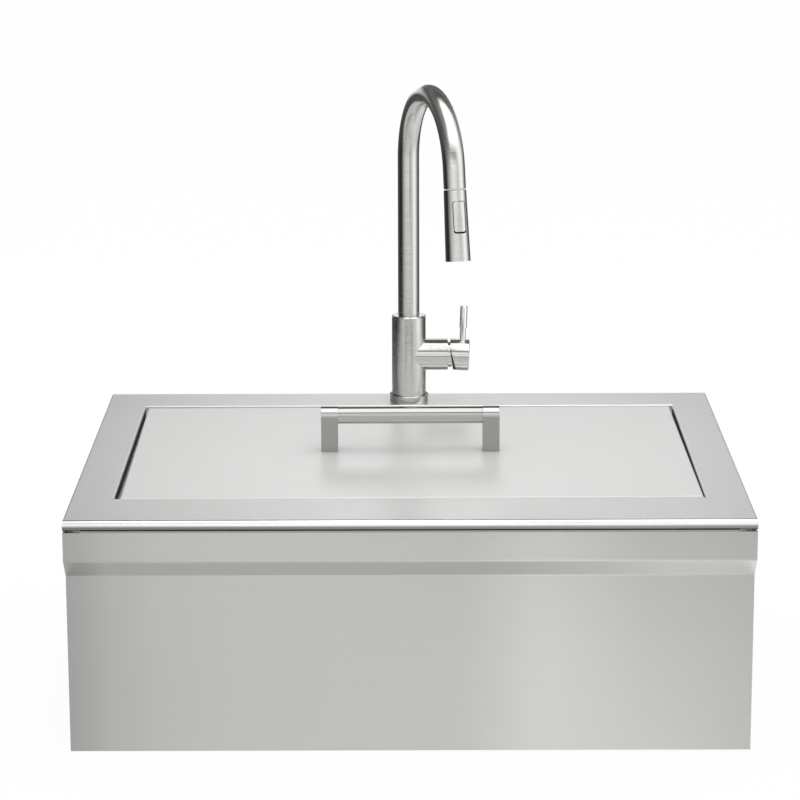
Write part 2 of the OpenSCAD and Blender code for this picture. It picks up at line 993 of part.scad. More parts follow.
module tap_body() {
    z0 = base_h + seat_gap;
    top = tap_h - rim_h;
    color(polished)
        tap_place()
            difference() {
                union() {
                    translate([0, 0, z0])
                        cylinder(d = tap_dia, h = top - z0);
                    translate([0, 0, valve_z])
                        rotate([0, 90, 0])
                            cylinder(d = housing_dia, h = housing_x);
                }
                translate([0, 0, z0 - over])
                    cylinder(r = bore_r, h = top - z0 + 2 * over);
                translate([0, 0, top - bush_h])
                    cylinder(r = bush_r, h = bush_h + over);
                translate([cartridge_x, 0, valve_z])
                    rotate([0, 90, 0])
                        cylinder(r = cartridge_r + 0.2, h = housing_x);
                translate([0, 0, z0 - over])
                    cylinder(d = shank_dia + 2 * seat_gap, h = 7 + over);
            }
}

module body_rim() {
    bevel = 1.4;
    color(polished)
        tap_place()
            difference() {
                union() {
                    translate([0, 0, tap_h - rim_h + seat_gap])
                        cylinder(d = tap_dia, h = rim_h - bevel - seat_gap);
                    translate([0, 0, tap_h - bevel])
                        cylinder(d1 = tap_dia, d2 = tap_dia - 2 * bevel, h = bevel);
                }
                translate([0, 0, tap_h - rim_h - over])
                    cylinder(r = tube_r + soft_gap, h = rim_h + 2 * over);
            }
}

module tap_shank() {
    top = base_h + 7;
    color(brass)
        tap_place()
            ring(shank_dia / 2, shank_in, top + shank_l, -shank_l);
}

module shank_washer() {
    color(rubber)
        tap_place()
            ring(washer_r - 1, shank_dia / 2 + soft_gap, 3, under_z - seat_gap - 3);
}

module shank_plate() {
    color(steel)
        tap_place()
            ring(washer_r, shank_dia / 2 + 0.2, 2.5, under_z - 2 * seat_gap - 5.5);
}

module shank_nut() {
    nut_h = 9;
    color(brass)
        tap_place()
            translate([0, 0, under_z - 3 * seat_gap - 5.5 - nut_h])
                difference() {
                    cylinder(r = 24, h = nut_h, $fn = 6);
                    translate([0, 0, -over])
                        cylinder(r = shank_dia / 2 + seat_gap, h = nut_h + 2 * over);
                }
}

module supply_nipples() {
    drop = 14;
    color(brass)
        tap_place()
            for (a = [60, 120])
                rotate([0, 0, a])
                    translate([(shank_in + hose_dia / 2) / 2, 0, -shank_l - drop])
                        difference() {
                            cylinder(d = nipple_dia, h = shank_l + drop + base_h);
                            translate([0, 0, -over])
                                cylinder(r = 2, h = nipple_bore + over);
                        }
}

// Spout pieces turn about the tap axis; their own forward direction is -Y
module spout_place() {
    tap_place()
        rotate([0, 0, spout_turn])
            children();
}

// Everything past the bend, drawn downward from the outlet end of the tube
module outlet_place() {
    spout_place()
        translate([
            0,
            -neck_r + neck_r * cos(outlet_turn) - outlet_l * sin(outlet_lean),
            neck_z + neck_r * sin(outlet_turn) - outlet_l * cos(outlet_lean)
        ])
            rotate([-outlet_lean, 0, 0])
                children();
}

// Tube along the gooseneck from height z0; its outlet end is slightly drawn in
module neck_path(outer, inner, z0, back) {
    draw = 0.08;
    union() {
        spout_place()
            union() {
                ring(outer, inner, neck_z - z0, z0);
                translate([0, -neck_r, neck_z])
                    rotate([90, 0, 90])
                        rotate_extrude(angle = outlet_turn)
                            translate([neck_r, 0])
                                difference() {
                                    circle(outer);
                                    circle(inner);
                                }
            }
        outlet_place()
            ring(outer - draw, inner + draw, outlet_l - back + over, back);
    }
}

module spout() {
    color(steel)
        neck_path(tube_r, tube_in, tap_h - rim_h - bush_h - 14, 0);
}

module spout_bush() {
    top = tap_h - rim_h;
    color(black_plastic)
        tap_place()
            ring(bush_r - seat_gap, tube_r + run_gap, bush_h - 2 * seat_gap, top - bush_h + seat_gap);
}

module spout_seals() {
    top = tap_h - rim_h - bush_h;
    section = 0.7;
    color(rubber)
        tap_place()
            for (k = [0, 1])
                translate([0, 0, top - 4 - 6 * k])
                    rotate_extrude()
                        translate([tube_r + soft_gap + section, 0])
                            circle(section);
}

module docking_collar() {
    color(pale_plastic)
        outlet_place()
            union() {
                ring(dock_r, spigot_r + 0.25, dock_h, -dock_h);
                ring(tube_in - seat_gap, spigot_r + 0.25, 9, 0);
            }
}

module spray_hose() {
    color(satin)
        neck_path(hose_dia / 2, hose_dia / 2 - 2, -shank_l - hose_tail, spigot_l + 2);
}

module hose_tail_sleeve() {
    color(polished)
        spout_place()
            ring(hose_dia / 2 + tail_sleeve_t, hose_dia / 2 + seat_gap, 14, -shank_l - hose_tail);
}

module hose_head_sleeve() {
    color(polished)
        outlet_place()
            union() {
                ring(sleeve_r, hose_dia / 2 + seat_gap, 14, head_top - 15.5);
                ring(hose_dia / 2, hose_dia / 2 - 2, 18, head_top - 16);
            }
}

module head_solid(grow) {
    top_r = head_top_dia / 2 + grow;
    end_r = head_end_dia / 2 + grow;
    translate([0, 0, head_top - head_l])
        cylinder(r1 = end_r, r2 = top_r, h = head_l);
}

// Upright rounded slot on the head's front, grown by a margin and a foot below
module button_prism(margin, foot) {
    w = button_w + 2 * margin;
    l = button_l + margin + foot;
    zc = head_top - button_drop + margin - l / 2;
    translate([0, -6, zc])
        rotate([90, 0, 0])
            rounded_slab(w, l, 20, button_corner + margin);
}

module spray_head() {
    color(steel)
        outlet_place()
            difference() {
                head_solid(0);
                translate([0, 0, head_top - head_l - over])
                    cylinder(
                        r1 = head_end_dia / 2 - head_wall,
                        r2 = head_top_dia / 2 - head_wall,
                        h = head_l + over - 2
                    );
                translate([0, 0, head_top - 3])
                    cylinder(r = spigot_r, h = 4);
                button_prism(button_gap, thumb_gap);
                pin_bar(pin_r, button_w + 3);
            }
}

// Pin on which the button rocks
module pin_bar(r, length) {
    zc = head_top - button_drop - button_l * button_pivot;
    translate([-length / 2, -head_top_dia / 2 + pin_in, zc])
        rotate([0, 90, 0])
            cylinder(r = r, h = length, $fn = 32);
}

module spray_core() {
    top = head_top;
    flat_top = top - button_drop + 3;
    flat_y = -head_top_dia / 2 + head_wall + 5.4;
    color(black_plastic)
        outlet_place()
            difference() {
                union() {
                    translate([0, 0, top - head_l + 7])
                        cylinder(r = core_r, h = head_l - 11);
                    translate([0, 0, top - 4])
                        cylinder(r = spigot_r - 0.1, h = spigot_l + 4);
                }
                translate([0, 0, top - 16])
                    cylinder(r = sleeve_r + 0.1, h = spigot_l + 16 + over);
                translate([-15, -20, flat_top - button_l - 8])
                    cube([30, 20 + flat_y, button_l + 8]);
            }
}

module spray_face() {
    top = head_top;
    face_r = head_end_dia / 2 - head_wall - 0.15;
    color(black_plastic)
        outlet_place()
            translate([0, 0, top - head_l + 0.8])
                difference() {
                    union() {
                        translate([0, 0, 0.9])
                            cylinder(r = face_r, h = 4.6);
                        for (a = [0 : 20 : 340])
                            rotate([0, 0, a])
                                translate([10.6, 0, 0])
                                    cylinder(r = 0.85, h = 2, $fn = 24);
                    }
                    translate([0, 0, -over])
                        cylinder(r = 8.2, h = 8);
                }
}

module aerator() {
    top = head_top;
    color(pale_plastic)
        outlet_place()
            translate([0, 0, top - head_l + 1.4])
                union() {
                    ring(8.1, 6.6, 5);
                    difference() {
                        translate([0, 0, 1])
                            cylinder(r = 6.65, h = 3.5);
                        for (x = [-4 : 2 : 4])
                            for (y = [-4 : 2 : 4])
                                if (x * x + y * y < 27)
                                    translate([x, y, -over])
                                        cylinder(r = 0.6, h = 7, $fn = 24);
                    }
                }
}

module spray_button() {
    scoop_r = 140;
    scoop_z = head_top - button_drop - button_l * 0.64;
    scoop_y = scoop_depth - scoop_r - (head_top_dia + head_end_dia) / 4;
    color(steel)
        outlet_place()
            difference() {
                intersection() {
                    head_solid(0);
                    button_prism(0, 0);
                }
                translate([0, 0, head_top - head_l - over])
                    cylinder(
                        r1 = head_end_dia / 2 - button_depth,
                        r2 = head_top_dia / 2 - button_depth,
                        h = head_l + 2 * over
                    );
                translate([-button_w, scoop_y, scoop_z])
                    rotate([0, 90, 0])
                        cylinder(r = scoop_r, h = 2 * button_w);
                pin_bar(pin_r + run_gap, button_w + 3);
            }
}

module button_pin() {
    color(brass)
        outlet_place()
            pin_bar(pin_r, button_w + 3);
}

// Side valve pieces are drawn along X on the valve axis
module valve_place() {
    tap_place()
        translate([0, 0, valve_z])
            children();
}

module along_x(x0) {
    translate([x0, 0, 0])
        rotate([0, 90, 0])
            children();
}

module valve_cartridge() {
    length = housing_x - nut_l - cartridge_x - 2 * seat_gap;
    color(pale_plastic)
        valve_place()
            along_x(cartridge_x + seat_gap)
                union() {
                    cylinder(r = cartridge_r, h = length - 4);
                    translate([0, 0, length - 4])
                        cylinder(r1 = cartridge_r, r2 = cartridge_r - 1, h = 4);
                }
}

module cartridge_nut() {
    color(brass)
        valve_place()
            along_x(housing_x - nut_l)
                ring(cartridge_r + 0.15, 10 + run_gap, nut_l - 0.3);
}

// Block on one side of a sloped plane through x on the valve axis
module slope_cut(x, slope, side) {
    translate([x, 0, 0])
        rotate([0, -slope, 0])
            translate([side < 0 ? -60 : 0, -40, -40])
                cube([60, 80, 80]);
}

// Bar along Y through the lever's pivot
module cross_bar(r, length) {
    translate([pivot_x, length / 2, 0])
        rotate([90, 0, 0])
            cylinder(r = r, h = length);
}

module control_neck() {
    color(polished)
        valve_place()
            difference() {
                union() {
                    along_x(housing_x + 0.2)
                        cylinder(d = neck_dia, h = neck_end - housing_x - 0.2);
                    along_x(housing_x - nut_l + 0.3)
                        cylinder(r = 10, h = nut_l + 1);
                }
                along_x(housing_x - nut_l)
                    cylinder(r = 7.5, h = 30);
                cross_bar(lever_pin_r + seat_gap, lever_pin_l + 0.2);
            }
}

module lever_pin() {
    color(brass)
        valve_place()
            cross_bar(lever_pin_r, lever_pin_l);
}

// The lever and its hub lean out a little even when shut
module lever_place() {
    valve_place()
        translate([pivot_x, 0, 0])
            rotate([0, lever_lean, 0])
                translate([-pivot_x, 0, 0])
                    children();
}

module lever_hub() {
    bevel = 0.7;
    cavity_x = lever_x - rod_dia / 2 - 0.4;
    color(polished)
        lever_place()
            difference() {
                union() {
                    along_x(hub_front)
                        cylinder(r = hub_r, h = hub_x - bevel - hub_front);
                    along_x(hub_x - bevel)
                        cylinder(r1 = hub_r, r2 = hub_r - bevel, h = bevel);
                }
                along_x(pivot_x - 9)
                    cylinder(r = hub_r - hub_wall, h = cavity_x - pivot_x + 9);
                slope_cut(hub_start, hub_slope, -1);
                translate([lever_x, 0, 6])
                    cylinder(d = rod_dia, h = 30);
                translate([lever_x, 0, -30])
                    cylinder(r = 2.5, h = 24);
                along_x(pivot_x)
                    cylinder(r = stem_r, h = hub_x - 4 - pivot_x);
            }
}

// Black wedge that fills the open side between the neck and the sloped hub
module hub_seal() {
    outer = hub_r - 0.6;
    inner = hub_r - hub_wall - 0.2;
    color(black_plastic)
        lever_place()
            difference() {
                along_x(hub_front)
                    ring(outer, inner, 12);
                slope_cut(seal_start, seal_slope, -1);
                slope_cut(hub_start - seat_gap, hub_slope, 1);
            }
}

module lever_stem() {
    inner_end = 5;
    color(brass)
        lever_place()
            difference() {
                along_x(pivot_x - inner_end)
                    cylinder(r = stem_r - seat_gap, h = hub_x - 4 - seat_gap - pivot_x + inner_end);
                cross_bar(lever_pin_r + run_gap, 2 * stem_r + over);
            }
}

module lever_rod() {
    color(polished)
        lever_place()
            translate([lever_x, 0, 6])
                cylinder(d = rod_dia, h = grip_start - 6 - seat_gap);
}

module lever_grip() {
    round_r = 2;
    color(steel)
        lever_place()
            translate([lever_x, 0, grip_start])
                rotate_extrude()
                    union() {
                        square([grip_dia / 2, grip_top - grip_start - round_r]);
                        square([grip_dia / 2 - round_r, grip_top - grip_start]);
                        intersection() {
                            translate([grip_dia / 2 - round_r, grip_top - grip_start - round_r])
                                circle(round_r);
                            square([grip_dia / 2, grip_top]);
                        }
                    }
}

module hub_screw() {
    color(black_plastic)
        lever_place()
            translate([lever_x, 0, -hub_r + 0.8])
                cylinder(r = 2.45, h = 6);
}

deck();
front_apron();
side_panel_left();
side_panel_right();
rear_rail();
joint_strip_left();
joint_strip_right();
joint_strip_front();
tap_stiffener();
basin();
sound_pads_side();
sound_pads_floor();
waste_body();
waste_gasket();
waste_slip_ring();
waste_locknut();
tailpiece();
tailpiece_nut();
basket();
basket_stopper();
basket_knob();
lid_panel();
lid_stiffener();
lid_rests();
handle_bar();
handle_post_left();
handle_post_right();
handle_screws();
base_flange();
base_gasket();
tap_body();
body_rim();
tap_shank();
shank_washer();
shank_plate();
shank_nut();
supply_nipples();
spout();
spout_bush();
spout_seals();
docking_collar();
spray_hose();
hose_tail_sleeve();
hose_head_sleeve();
spray_head();
spray_core();
spray_face();
aerator();
spray_button();
button_pin();
valve_cartridge();
cartridge_nut();
control_neck();
lever_pin();
lever_hub();
hub_seal();
lever_stem();
lever_rod();
lever_grip();
hub_screw();
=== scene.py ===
# Outdoor farmhouse sink: brushed sheet body, flush lid with a bar handle and a pull-down tap,
# dressed on the fixed CAD frame. Metres, same frame as the CAD.
import math
import bmesh
import bpy
from mathutils import Matrix, Vector


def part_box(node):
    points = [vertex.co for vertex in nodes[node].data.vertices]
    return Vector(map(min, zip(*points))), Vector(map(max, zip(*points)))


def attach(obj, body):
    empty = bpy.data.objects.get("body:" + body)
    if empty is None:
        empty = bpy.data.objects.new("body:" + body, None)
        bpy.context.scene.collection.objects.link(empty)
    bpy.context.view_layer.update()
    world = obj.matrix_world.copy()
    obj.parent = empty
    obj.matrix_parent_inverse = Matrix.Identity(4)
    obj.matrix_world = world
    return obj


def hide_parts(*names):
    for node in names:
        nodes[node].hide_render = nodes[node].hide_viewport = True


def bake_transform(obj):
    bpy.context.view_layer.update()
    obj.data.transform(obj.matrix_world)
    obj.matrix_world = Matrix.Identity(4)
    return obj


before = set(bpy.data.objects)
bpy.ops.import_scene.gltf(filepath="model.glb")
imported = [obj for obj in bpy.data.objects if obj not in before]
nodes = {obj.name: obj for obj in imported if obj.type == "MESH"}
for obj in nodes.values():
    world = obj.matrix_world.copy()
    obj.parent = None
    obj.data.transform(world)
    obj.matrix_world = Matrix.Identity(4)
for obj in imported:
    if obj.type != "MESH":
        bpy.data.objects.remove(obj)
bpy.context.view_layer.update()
print("frame loaded:", len(nodes), "nodes")

mm = 0.001


def middle(nodeName):
    low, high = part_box(nodeName)
    return (low + high) / 2


# Heights and places that several pieces and finishes share
deckLow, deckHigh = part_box("deck")
bandFoot = deckHigh[2] - 46.5 * mm  # the apron's upper band ends here and its sloping step starts
stepFoot = bandFoot - 22.5 * mm
barHeight = middle("handle_bar")[2]
tapPlace = middle("base_flange")
neckLean = 8.5  # degrees, of the spout's end and the spray head

# Camera: fitted to the corners of the photograph's deck, lid opening and apron
cameraSetup = {
    "place": (-0.0058, -3.5532, 1.1812),
    "lens": 138.7,
    "pitch": 13.343,
    "yaw": -0.084,
    "roll": 0.172,
}


def makeCamera(setup):
    pitch, yaw, roll = (math.radians(setup[k]) for k in ("pitch", "yaw", "roll"))
    ahead = Vector((math.sin(yaw) * math.cos(pitch), math.cos(yaw) * math.cos(pitch), -math.sin(pitch)))
    level = Vector((math.cos(yaw), -math.sin(yaw), 0))
    down = ahead.cross(level)
    right = level * math.cos(roll) + down * math.sin(roll)
    down = down * math.cos(roll) - level * math.sin(roll)
    turn = Matrix((right, -down, -ahead)).transposed()
    data = bpy.data.cameras.new("photoCamera")
    data.sensor_width = 36
    data.lens = setup["lens"]
    data.clip_end = 60
    camera = bpy.data.objects.new("photoCamera", data)
    camera.matrix_world = Matrix.Translation(setup["place"]) @ turn.to_4x4()
    bpy.context.scene.collection.objects.link(camera)
    bpy.context.scene.camera = camera


makeCamera(cameraSetup)
bpy.context.scene.view_settings.view_transform = "Standard"
print("camera placed")


# Node maths: a wrapped socket takes + - * / with sockets and numbers on either side
class Wire:
    def __init__(self, maker, socket):
        self.maker = maker
        self.socket = socket

    def __add__(self, other):
        return self.maker.maths("ADD", self, other)

    def __radd__(self, other):
        return self.maker.maths("ADD", other, self)

    def __sub__(self, other):
        return self.maker.maths("SUBTRACT", self, other)

    def __rsub__(self, other):
        return self.maker.maths("SUBTRACT", other, self)

    def __mul__(self, other):
        return self.maker.maths("MULTIPLY", self, other)

    def __rmul__(self, other):
        return self.maker.maths("MULTIPLY", other, self)

    def __truediv__(self, other):
        return self.maker.maths("DIVIDE", self, other)

    def __rtruediv__(self, other):
        return self.maker.maths("DIVIDE", other, self)


class TreeMaker:
    def __init__(self, tree):
        self.tree = tree

    def node(self, kind, settings=None, sockets=None, out=0):
        made = self.tree.nodes.new(kind)
        for name, value in (settings or {}).items():
            if name == "stops":
                ramp = made.color_ramp.elements
                while len(ramp) < len(value):
                    ramp.new(0.5)
                for stop, (place, glow) in zip(ramp, value):
                    stop.position = place
                    stop.color = (glow, glow, glow, 1)
            else:
                setattr(made, name, value)
        for name, value in (sockets or {}).items():
            if isinstance(value, Wire):
                self.tree.links.new(value.socket, made.inputs[name])
            else:
                made.inputs[name].default_value = value
        return Wire(self, made.outputs[out]) if len(made.outputs) else made

    def maths(self, operation, first, second=0.0):
        return self.node("ShaderNodeMath", {"operation": operation}, {0: first, 1: second})


class MaterialMaker(TreeMaker):
    def __init__(self, name):
        self.material = bpy.data.materials.new(name)
        self.material.use_nodes = True
        super().__init__(self.material.node_tree)
        self.tree.nodes.clear()

    def clamp(self, value, low, high):
        return self.node("ShaderNodeClamp", None, {"Value": value, "Min": low, "Max": high})

    def place(self):
        return self.node("ShaderNodeTexCoord", None, None, "Object")

    def kept(self, attribute):
        return self.node("ShaderNodeAttribute", {"attribute_name": attribute}, None, "Fac")

    def axis(self, vector, name):
        return self.node("ShaderNodeSeparateXYZ", None, {0: vector}, name)

    def stretched(self, vector, scale, turn=(0, 0, 0)):
        turned = vector
        if any(turn):
            turned = self.node("ShaderNodeMapping", None, {"Vector": vector, "Rotation": turn})
        return self.node("ShaderNodeMapping", None, {"Vector": turned, "Scale": scale})

    def noise(self, vector, scale=1.0, detail=2.0, roughness=0.5):
        sockets = {"Vector": vector, "Scale": scale, "Detail": detail, "Roughness": roughness}
        return self.node("ShaderNodeTexNoise", {"noise_dimensions": "3D"}, sockets)

    def lineNoise(self, value, scale, detail=2.0):
        sockets = {"W": value, "Scale": scale, "Detail": detail}
        return self.node("ShaderNodeTexNoise", {"noise_dimensions": "1D"}, sockets)

    def tint(self, colour, factor):
        return self.node("ShaderNodeVectorMath", {"operation": "SCALE"}, {0: colour, "Scale": factor})

    def mixed(self, factor, first, second):
        sockets = {0: factor, 6: first, 7: second}
        return self.node("ShaderNodeMix", {"data_type": "RGBA"}, sockets, 2)

    def band(self, value, start, end, low=0.0, high=1.0):
        settings = {"interpolation_type": "SMOOTHSTEP"}
        sockets = {0: value, 1: start, 2: end, 3: low, 4: high}
        return self.node("ShaderNodeMapRange", settings, sockets)

    def profile(self, value, points):
        low, high = points[0][0], points[-1][0]
        stops = [((at - low) / (high - low), glow) for at, glow in points]
        along = self.node("ShaderNodeMapRange", None, {0: value, 1: low, 2: high, 3: 0.0, 4: 1.0})
        return self.node("ShaderNodeValToRGB", {"stops": stops}, {"Fac": along})

    def bump(self, height, strength, distance):
        return self.node(
            "ShaderNodeBump", None, {"Strength": strength, "Distance": distance, "Height": height}
        )

    def glow(self, colour):
        light = self.node("ShaderNodeEmission", None, {"Color": colour, "Strength": 1.0})
        self.node("ShaderNodeOutputMaterial", None, {"Surface": light})
        return self.material

    def surface(self, sockets):
        shader = self.node("ShaderNodeBsdfPrincipled", None, sockets)
        self.node("ShaderNodeOutputMaterial", None, {"Surface": shader})
        return self.material


def rgb(red, green, blue):
    return (red, green, blue, 1.0)


# Studio: white floor, soft lamps, and a room of graded light that only the metal sees.
# The room's light is given by degrees round the tap, from the camera's side, right positive
studio = {
    "floorSize": 16.0,
    "floorPaint": 0.93,
    "floorGlow": 0.94,
    "floorMirrored": ((-0.45, 0.70), (-0.30, 0.74), (0.0, 0.84), (0.27, 1.0), (0.36, 0.90), (0.45, 0.84)),
    "worldStrength": 0.9,
    "lamps": {
        "topLamp": {"place": (0.3, 0.5, 3.2), "size": 3.2, "power": 26},
        "frontLamp": {"place": (1.2, -4.2, 2.6), "size": 2.4, "power": 18},
    },
    "room": {
        "reach": 1.2,
        "top": 2.0,
        "sides": 96,
        "ceiling": {"edge": (-0.75, -0.38), "back": (0.50, 0.62), "dark": 0.40, "light": 2.0, "rear": 0.12},
        "levels": ((0.56, 0.80), (0.86, 1.10), (1.26, 1.48)),
        "low": (
            (-180, 0.10), (-137, 0.10), (-98, 0.03), (-82, 0.03), (-72, 0.08), (-62, 0.28), (-50, 0.52),
            (-40, 0.62), (-20, 0.76), (0, 0.78), (11, 0.76), (22, 0.68), (30, 0.66), (38, 0.74), (48, 0.95),
            (56, 1.30), (72, 1.45), (80, 1.20), (88, 0.80), (98, 0.55), (106, 0.40), (116, 0.18),
            (132, 0.10), (180, 0.10),
        ),
        "shoulder": (
            (-180, 0.12), (-80, 0.12), (-60, 0.25), (-40, 0.50), (-20, 1.30), (0, 1.40), (18, 1.20),
            (30, 0.90), (45, 1.10), (62, 1.40), (80, 1.40), (96, 0.80), (112, 0.40), (134, 0.15), (180, 0.12),
        ),
        "middle": (
            (-180, 0.12), (-80, 0.12), (-60, 0.20), (-30, 0.30), (0, 0.32), (18, 0.30), (30, 0.50),
            (42, 1.10), (62, 1.50), (80, 1.40), (96, 0.80), (112, 0.35), (134, 0.15), (180, 0.12),
        ),
        "high": (
            (-180, 0.18), (-120, 0.20), (-60, 0.30), (-40, 0.50), (-24, 1.70), (0, 1.90), (80, 1.80),
            (100, 1.00), (125, 0.25), (180, 0.18),
        ),
        "backLine": {
            "heights": ((0.56, 0.68), (0.90, 1.02)),
            "turns": ((-180, 1.55), (-168, 1.45), (-156, 1.10), (-140, 0.40), (-125, 0.0), (125, 0.0),
                      (142, 0.50), (156, 1.10), (168, 1.40), (180, 1.55)),
        },
        "frontLine": {
            "heights": ((0.39, 0.43), (0.51, 0.56)),
            "turns": ((-180, 0.0), (-60, 0.0), (-30, 0.60), (0, 0.65), (30, 0.60), (60, 0.0), (180, 0.0)),
        },
    },
}


def standing(name, points, faces, material):
    mesh = bpy.data.meshes.new(name)
    mesh.from_pydata(points, [], faces)
    mesh.update()
    mesh.materials.append(material)
    made = bpy.data.objects.new(name, mesh)
    bpy.context.scene.collection.objects.link(made)
    return made


def areaLamp(name, lamp):
    data = bpy.data.lights.new(name, "AREA")
    data.shape = "SQUARE"
    data.size = lamp["size"]
    data.energy = lamp["power"]
    made = bpy.data.objects.new(name, data)
    made.location = lamp["place"]
    aim = Vector((0, 0, 0.2)) - Vector(lamp["place"])
    made.rotation_euler = aim.to_track_quat("-Z", "Y").to_euler()
    made.visible_glossy = False
    bpy.context.scene.collection.objects.link(made)


def floorWhite(setup):
    maker = MaterialMaker("floorWhite")
    paint = setup["floorPaint"]
    seen = maker.node("ShaderNodeLightPath", None, None, "Is Camera Ray")
    mirrored = maker.node("ShaderNodeLightPath", None, None, "Is Glossy Ray")
    across = maker.axis(maker.place(), "X")
    shine = maker.profile(across, setup["floorMirrored"]) * mirrored + seen
    coat = maker.node("ShaderNodeBsdfDiffuse", None, {"Color": rgb(paint, paint, paint)})
    light = maker.node("ShaderNodeEmission", None, {"Color": shine, "Strength": 1.0})
    lit = seen * setup["floorGlow"] + mirrored
    mixed = maker.node("ShaderNodeMixShader", None, {0: lit, 1: coat, 2: light})
    maker.node("ShaderNodeOutputMaterial", None, {"Surface": mixed})
    maker.material.cycles.emission_sampling = "NONE"
    return maker.material


def gradedRoom(room, centre):
    maker = MaterialMaker("gradedRoom")
    place = maker.place()
    height = maker.axis(place, "Z")
    right = maker.axis(place, "X") - centre[0]
    ahead = centre[1] - maker.axis(place, "Y")
    turn = maker.maths("ARCTAN2", right, ahead) * (180 / math.pi)
    light = maker.profile(turn, room["low"])
    for name, (start, end) in zip(("shoulder", "middle", "high"), room["levels"]):
        above = maker.band(height, start, end)
        light = light * (1 - above) + maker.profile(turn, room[name]) * above
    for name in ("backLine", "frontLine"):
        rise, fall = room[name]["heights"]
        line = maker.band(height, *rise) * (1 - maker.band(height, *fall))
        light = light + maker.profile(turn, room[name]["turns"]) * line
    return maker.glow(light)


def litCeiling(ceiling):
    maker = MaterialMaker("litCeiling")
    place = maker.place()
    lit = maker.band(maker.axis(place, "X"), *ceiling["edge"], ceiling["dark"], ceiling["light"])
    behind = maker.band(maker.axis(place, "Y"), *ceiling["back"])
    return maker.glow(lit * (1 - behind) + behind * ceiling["rear"])


def makeFloor(setup):
    half = setup["floorSize"] / 2
    corners = [(-half, -half, 0), (half, -half, 0), (half, half, 0), (-half, half, 0)]
    standing("floor", corners, [(0, 1, 2, 3)], floorWhite(setup))


def makeRoom(room):
    steps = room["sides"]
    points = []
    for i in range(steps):
        turn = 2 * math.pi * i / steps
        x = tapPlace[0] + room["reach"] * math.sin(turn)
        y = tapPlace[1] - room["reach"] * math.cos(turn)
        points += [(x, y, 0), (x, y, room["top"])]
    wall = [(2 * i, 2 * i + 1, (2 * i + 3) % (2 * steps), (2 * i + 2) % (2 * steps)) for i in range(steps)]
    made = [
        standing("roomWall", points, wall, gradedRoom(room, tapPlace)),
        standing("roomTop", points[1::2], [tuple(range(steps))], litCeiling(room["ceiling"])),
    ]
    for card in made:
        card.active_material.cycles.emission_sampling = "NONE"
        for rays in ("camera", "diffuse", "shadow", "transmission", "volume_scatter"):
            setattr(card, "visible_" + rays, False)


def makeWorld(soft):
    world = bpy.data.worlds.new("softRoom")
    bpy.context.scene.world = world
    world.use_nodes = True
    maker = TreeMaker(world.node_tree)
    maker.tree.nodes.clear()
    seen = maker.node("ShaderNodeLightPath", None, None, "Is Camera Ray")
    strength = soft + seen * (1 - soft)
    back = maker.node("ShaderNodeBackground", None, {"Color": rgb(1, 1, 1), "Strength": strength})
    maker.node("ShaderNodeOutputWorld", None, {"Surface": back})


makeFloor(studio)
makeRoom(studio["room"])
makeWorld(studio["worldStrength"])
for name, lamp in studio["lamps"].items():
    areaLamp(name, lamp)
print("studio lit")


# Brushed sheet and turned steel: long grain over soft blotches. On some sheets the colour also carries
# painted shade from left to right, painted light and shade between two heights, painted shade on what lies
# lower and a painted highlight on the front edge; "branch" changes the grain outside a radius
def brushedGrain(maker, place, look):
    if "follow" in look:
        along = maker.kept(look["follow"])
        return maker.lineNoise(along, look["lines"], 3.0), maker.lineNoise(along, look["lines"] * 0.12, 2.0)
    turn = look.get("turn", (0, 0, 0))
    fine = maker.noise(maker.stretched(place, look["grain"], turn), 1.0, 3.0, 0.6)
    broad = maker.noise(maker.stretched(place, [g * 0.15 for g in look["grain"]], turn), 1.0, 2.0)
    if "branch" in look:
        centre, radius, grain = look["branch"]
        across, deep = maker.axis(place, "X") - centre[0], maker.axis(place, "Y") - centre[1]
        out = maker.band(across * across + deep * deep, radius ** 2, (radius + 0.2 * mm) ** 2)
        other = maker.noise(maker.stretched(place, grain), 1.0, 3.0, 0.6)
        fine = fine * (1 - out) + other * out
    return fine, broad


def paintedShadingAcross(maker, place, look, shade):
    across = maker.axis(place, "X")
    # Painted shade: the colour is darkened from left to right across the sheet
    if "paintedShadeAcross" in look:
        shade = shade * maker.profile(across, look["paintedShadeAcross"])
    # Painted light and shade on the apron's sloping step, graded from left to right between two heights
    if "step" in look:
        low, high, points = look["step"]
        height = maker.axis(place, "Z")
        on = maker.band(height, low, low + mm) * maker.band(height, high - mm, high, 1, 0)
        shade = shade * ((maker.profile(across, points) - 1) * on + 1)
    return shade


def brushedSteel(name, look):
    maker = MaterialMaker(name)
    place = maker.place()
    fine, broad = brushedGrain(maker, place, look)
    cloud = maker.noise(place, look.get("cloudScale", 5.0), 2.0)
    smear = maker.noise(place, 38.0, 3.0, 0.6)
    shade = 1 + (fine - 0.5) * look["streak"] + (broad - 0.5) * look["streak"] * 0.8
    shade = paintedShadingAcross(maker, place, look, shade + (cloud - 0.5) * look["cloud"])
    rough, metal = look["rough"], look.get("metal", 1.0)
    # Painted shade on what lies lower: the lower half of the deck's front lip, and the handle posts below the
    # bar
    if "under" in look:
        start, end, dark = look["under"]
        paintedShade = maker.band(maker.axis(place, "Z"), start, end, dark, 1.0)
        # Painted highlight: the front lip's colour is brightened
        if "lip" in look:
            start, end, lipRough, lipShade = look["lip"]
            inner = maker.band(maker.axis(place, "Y"), start, end)
            paintedShade = (lipShade - inner * lipShade) * paintedShade + inner
            rough = lipRough + inner * (rough - lipRough)
            metal = 1 - inner * (1 - metal)
        shade = shade * paintedShade
    rough = rough + (fine - 0.5) * look["roughVary"] + (smear - 0.5) * look["roughVary"] * 0.6
    relief = fine * 0.7 + broad * look.get("waves", 0.6)
    return maker.surface({
        "Base Color": maker.tint(look["colour"], shade),
        "Metallic": metal,
        "Roughness": maker.clamp(rough, 0.03, 1.0),
        "Normal": maker.bump(relief, look["bump"], look.get("depth", 0.04) * mm),
    })


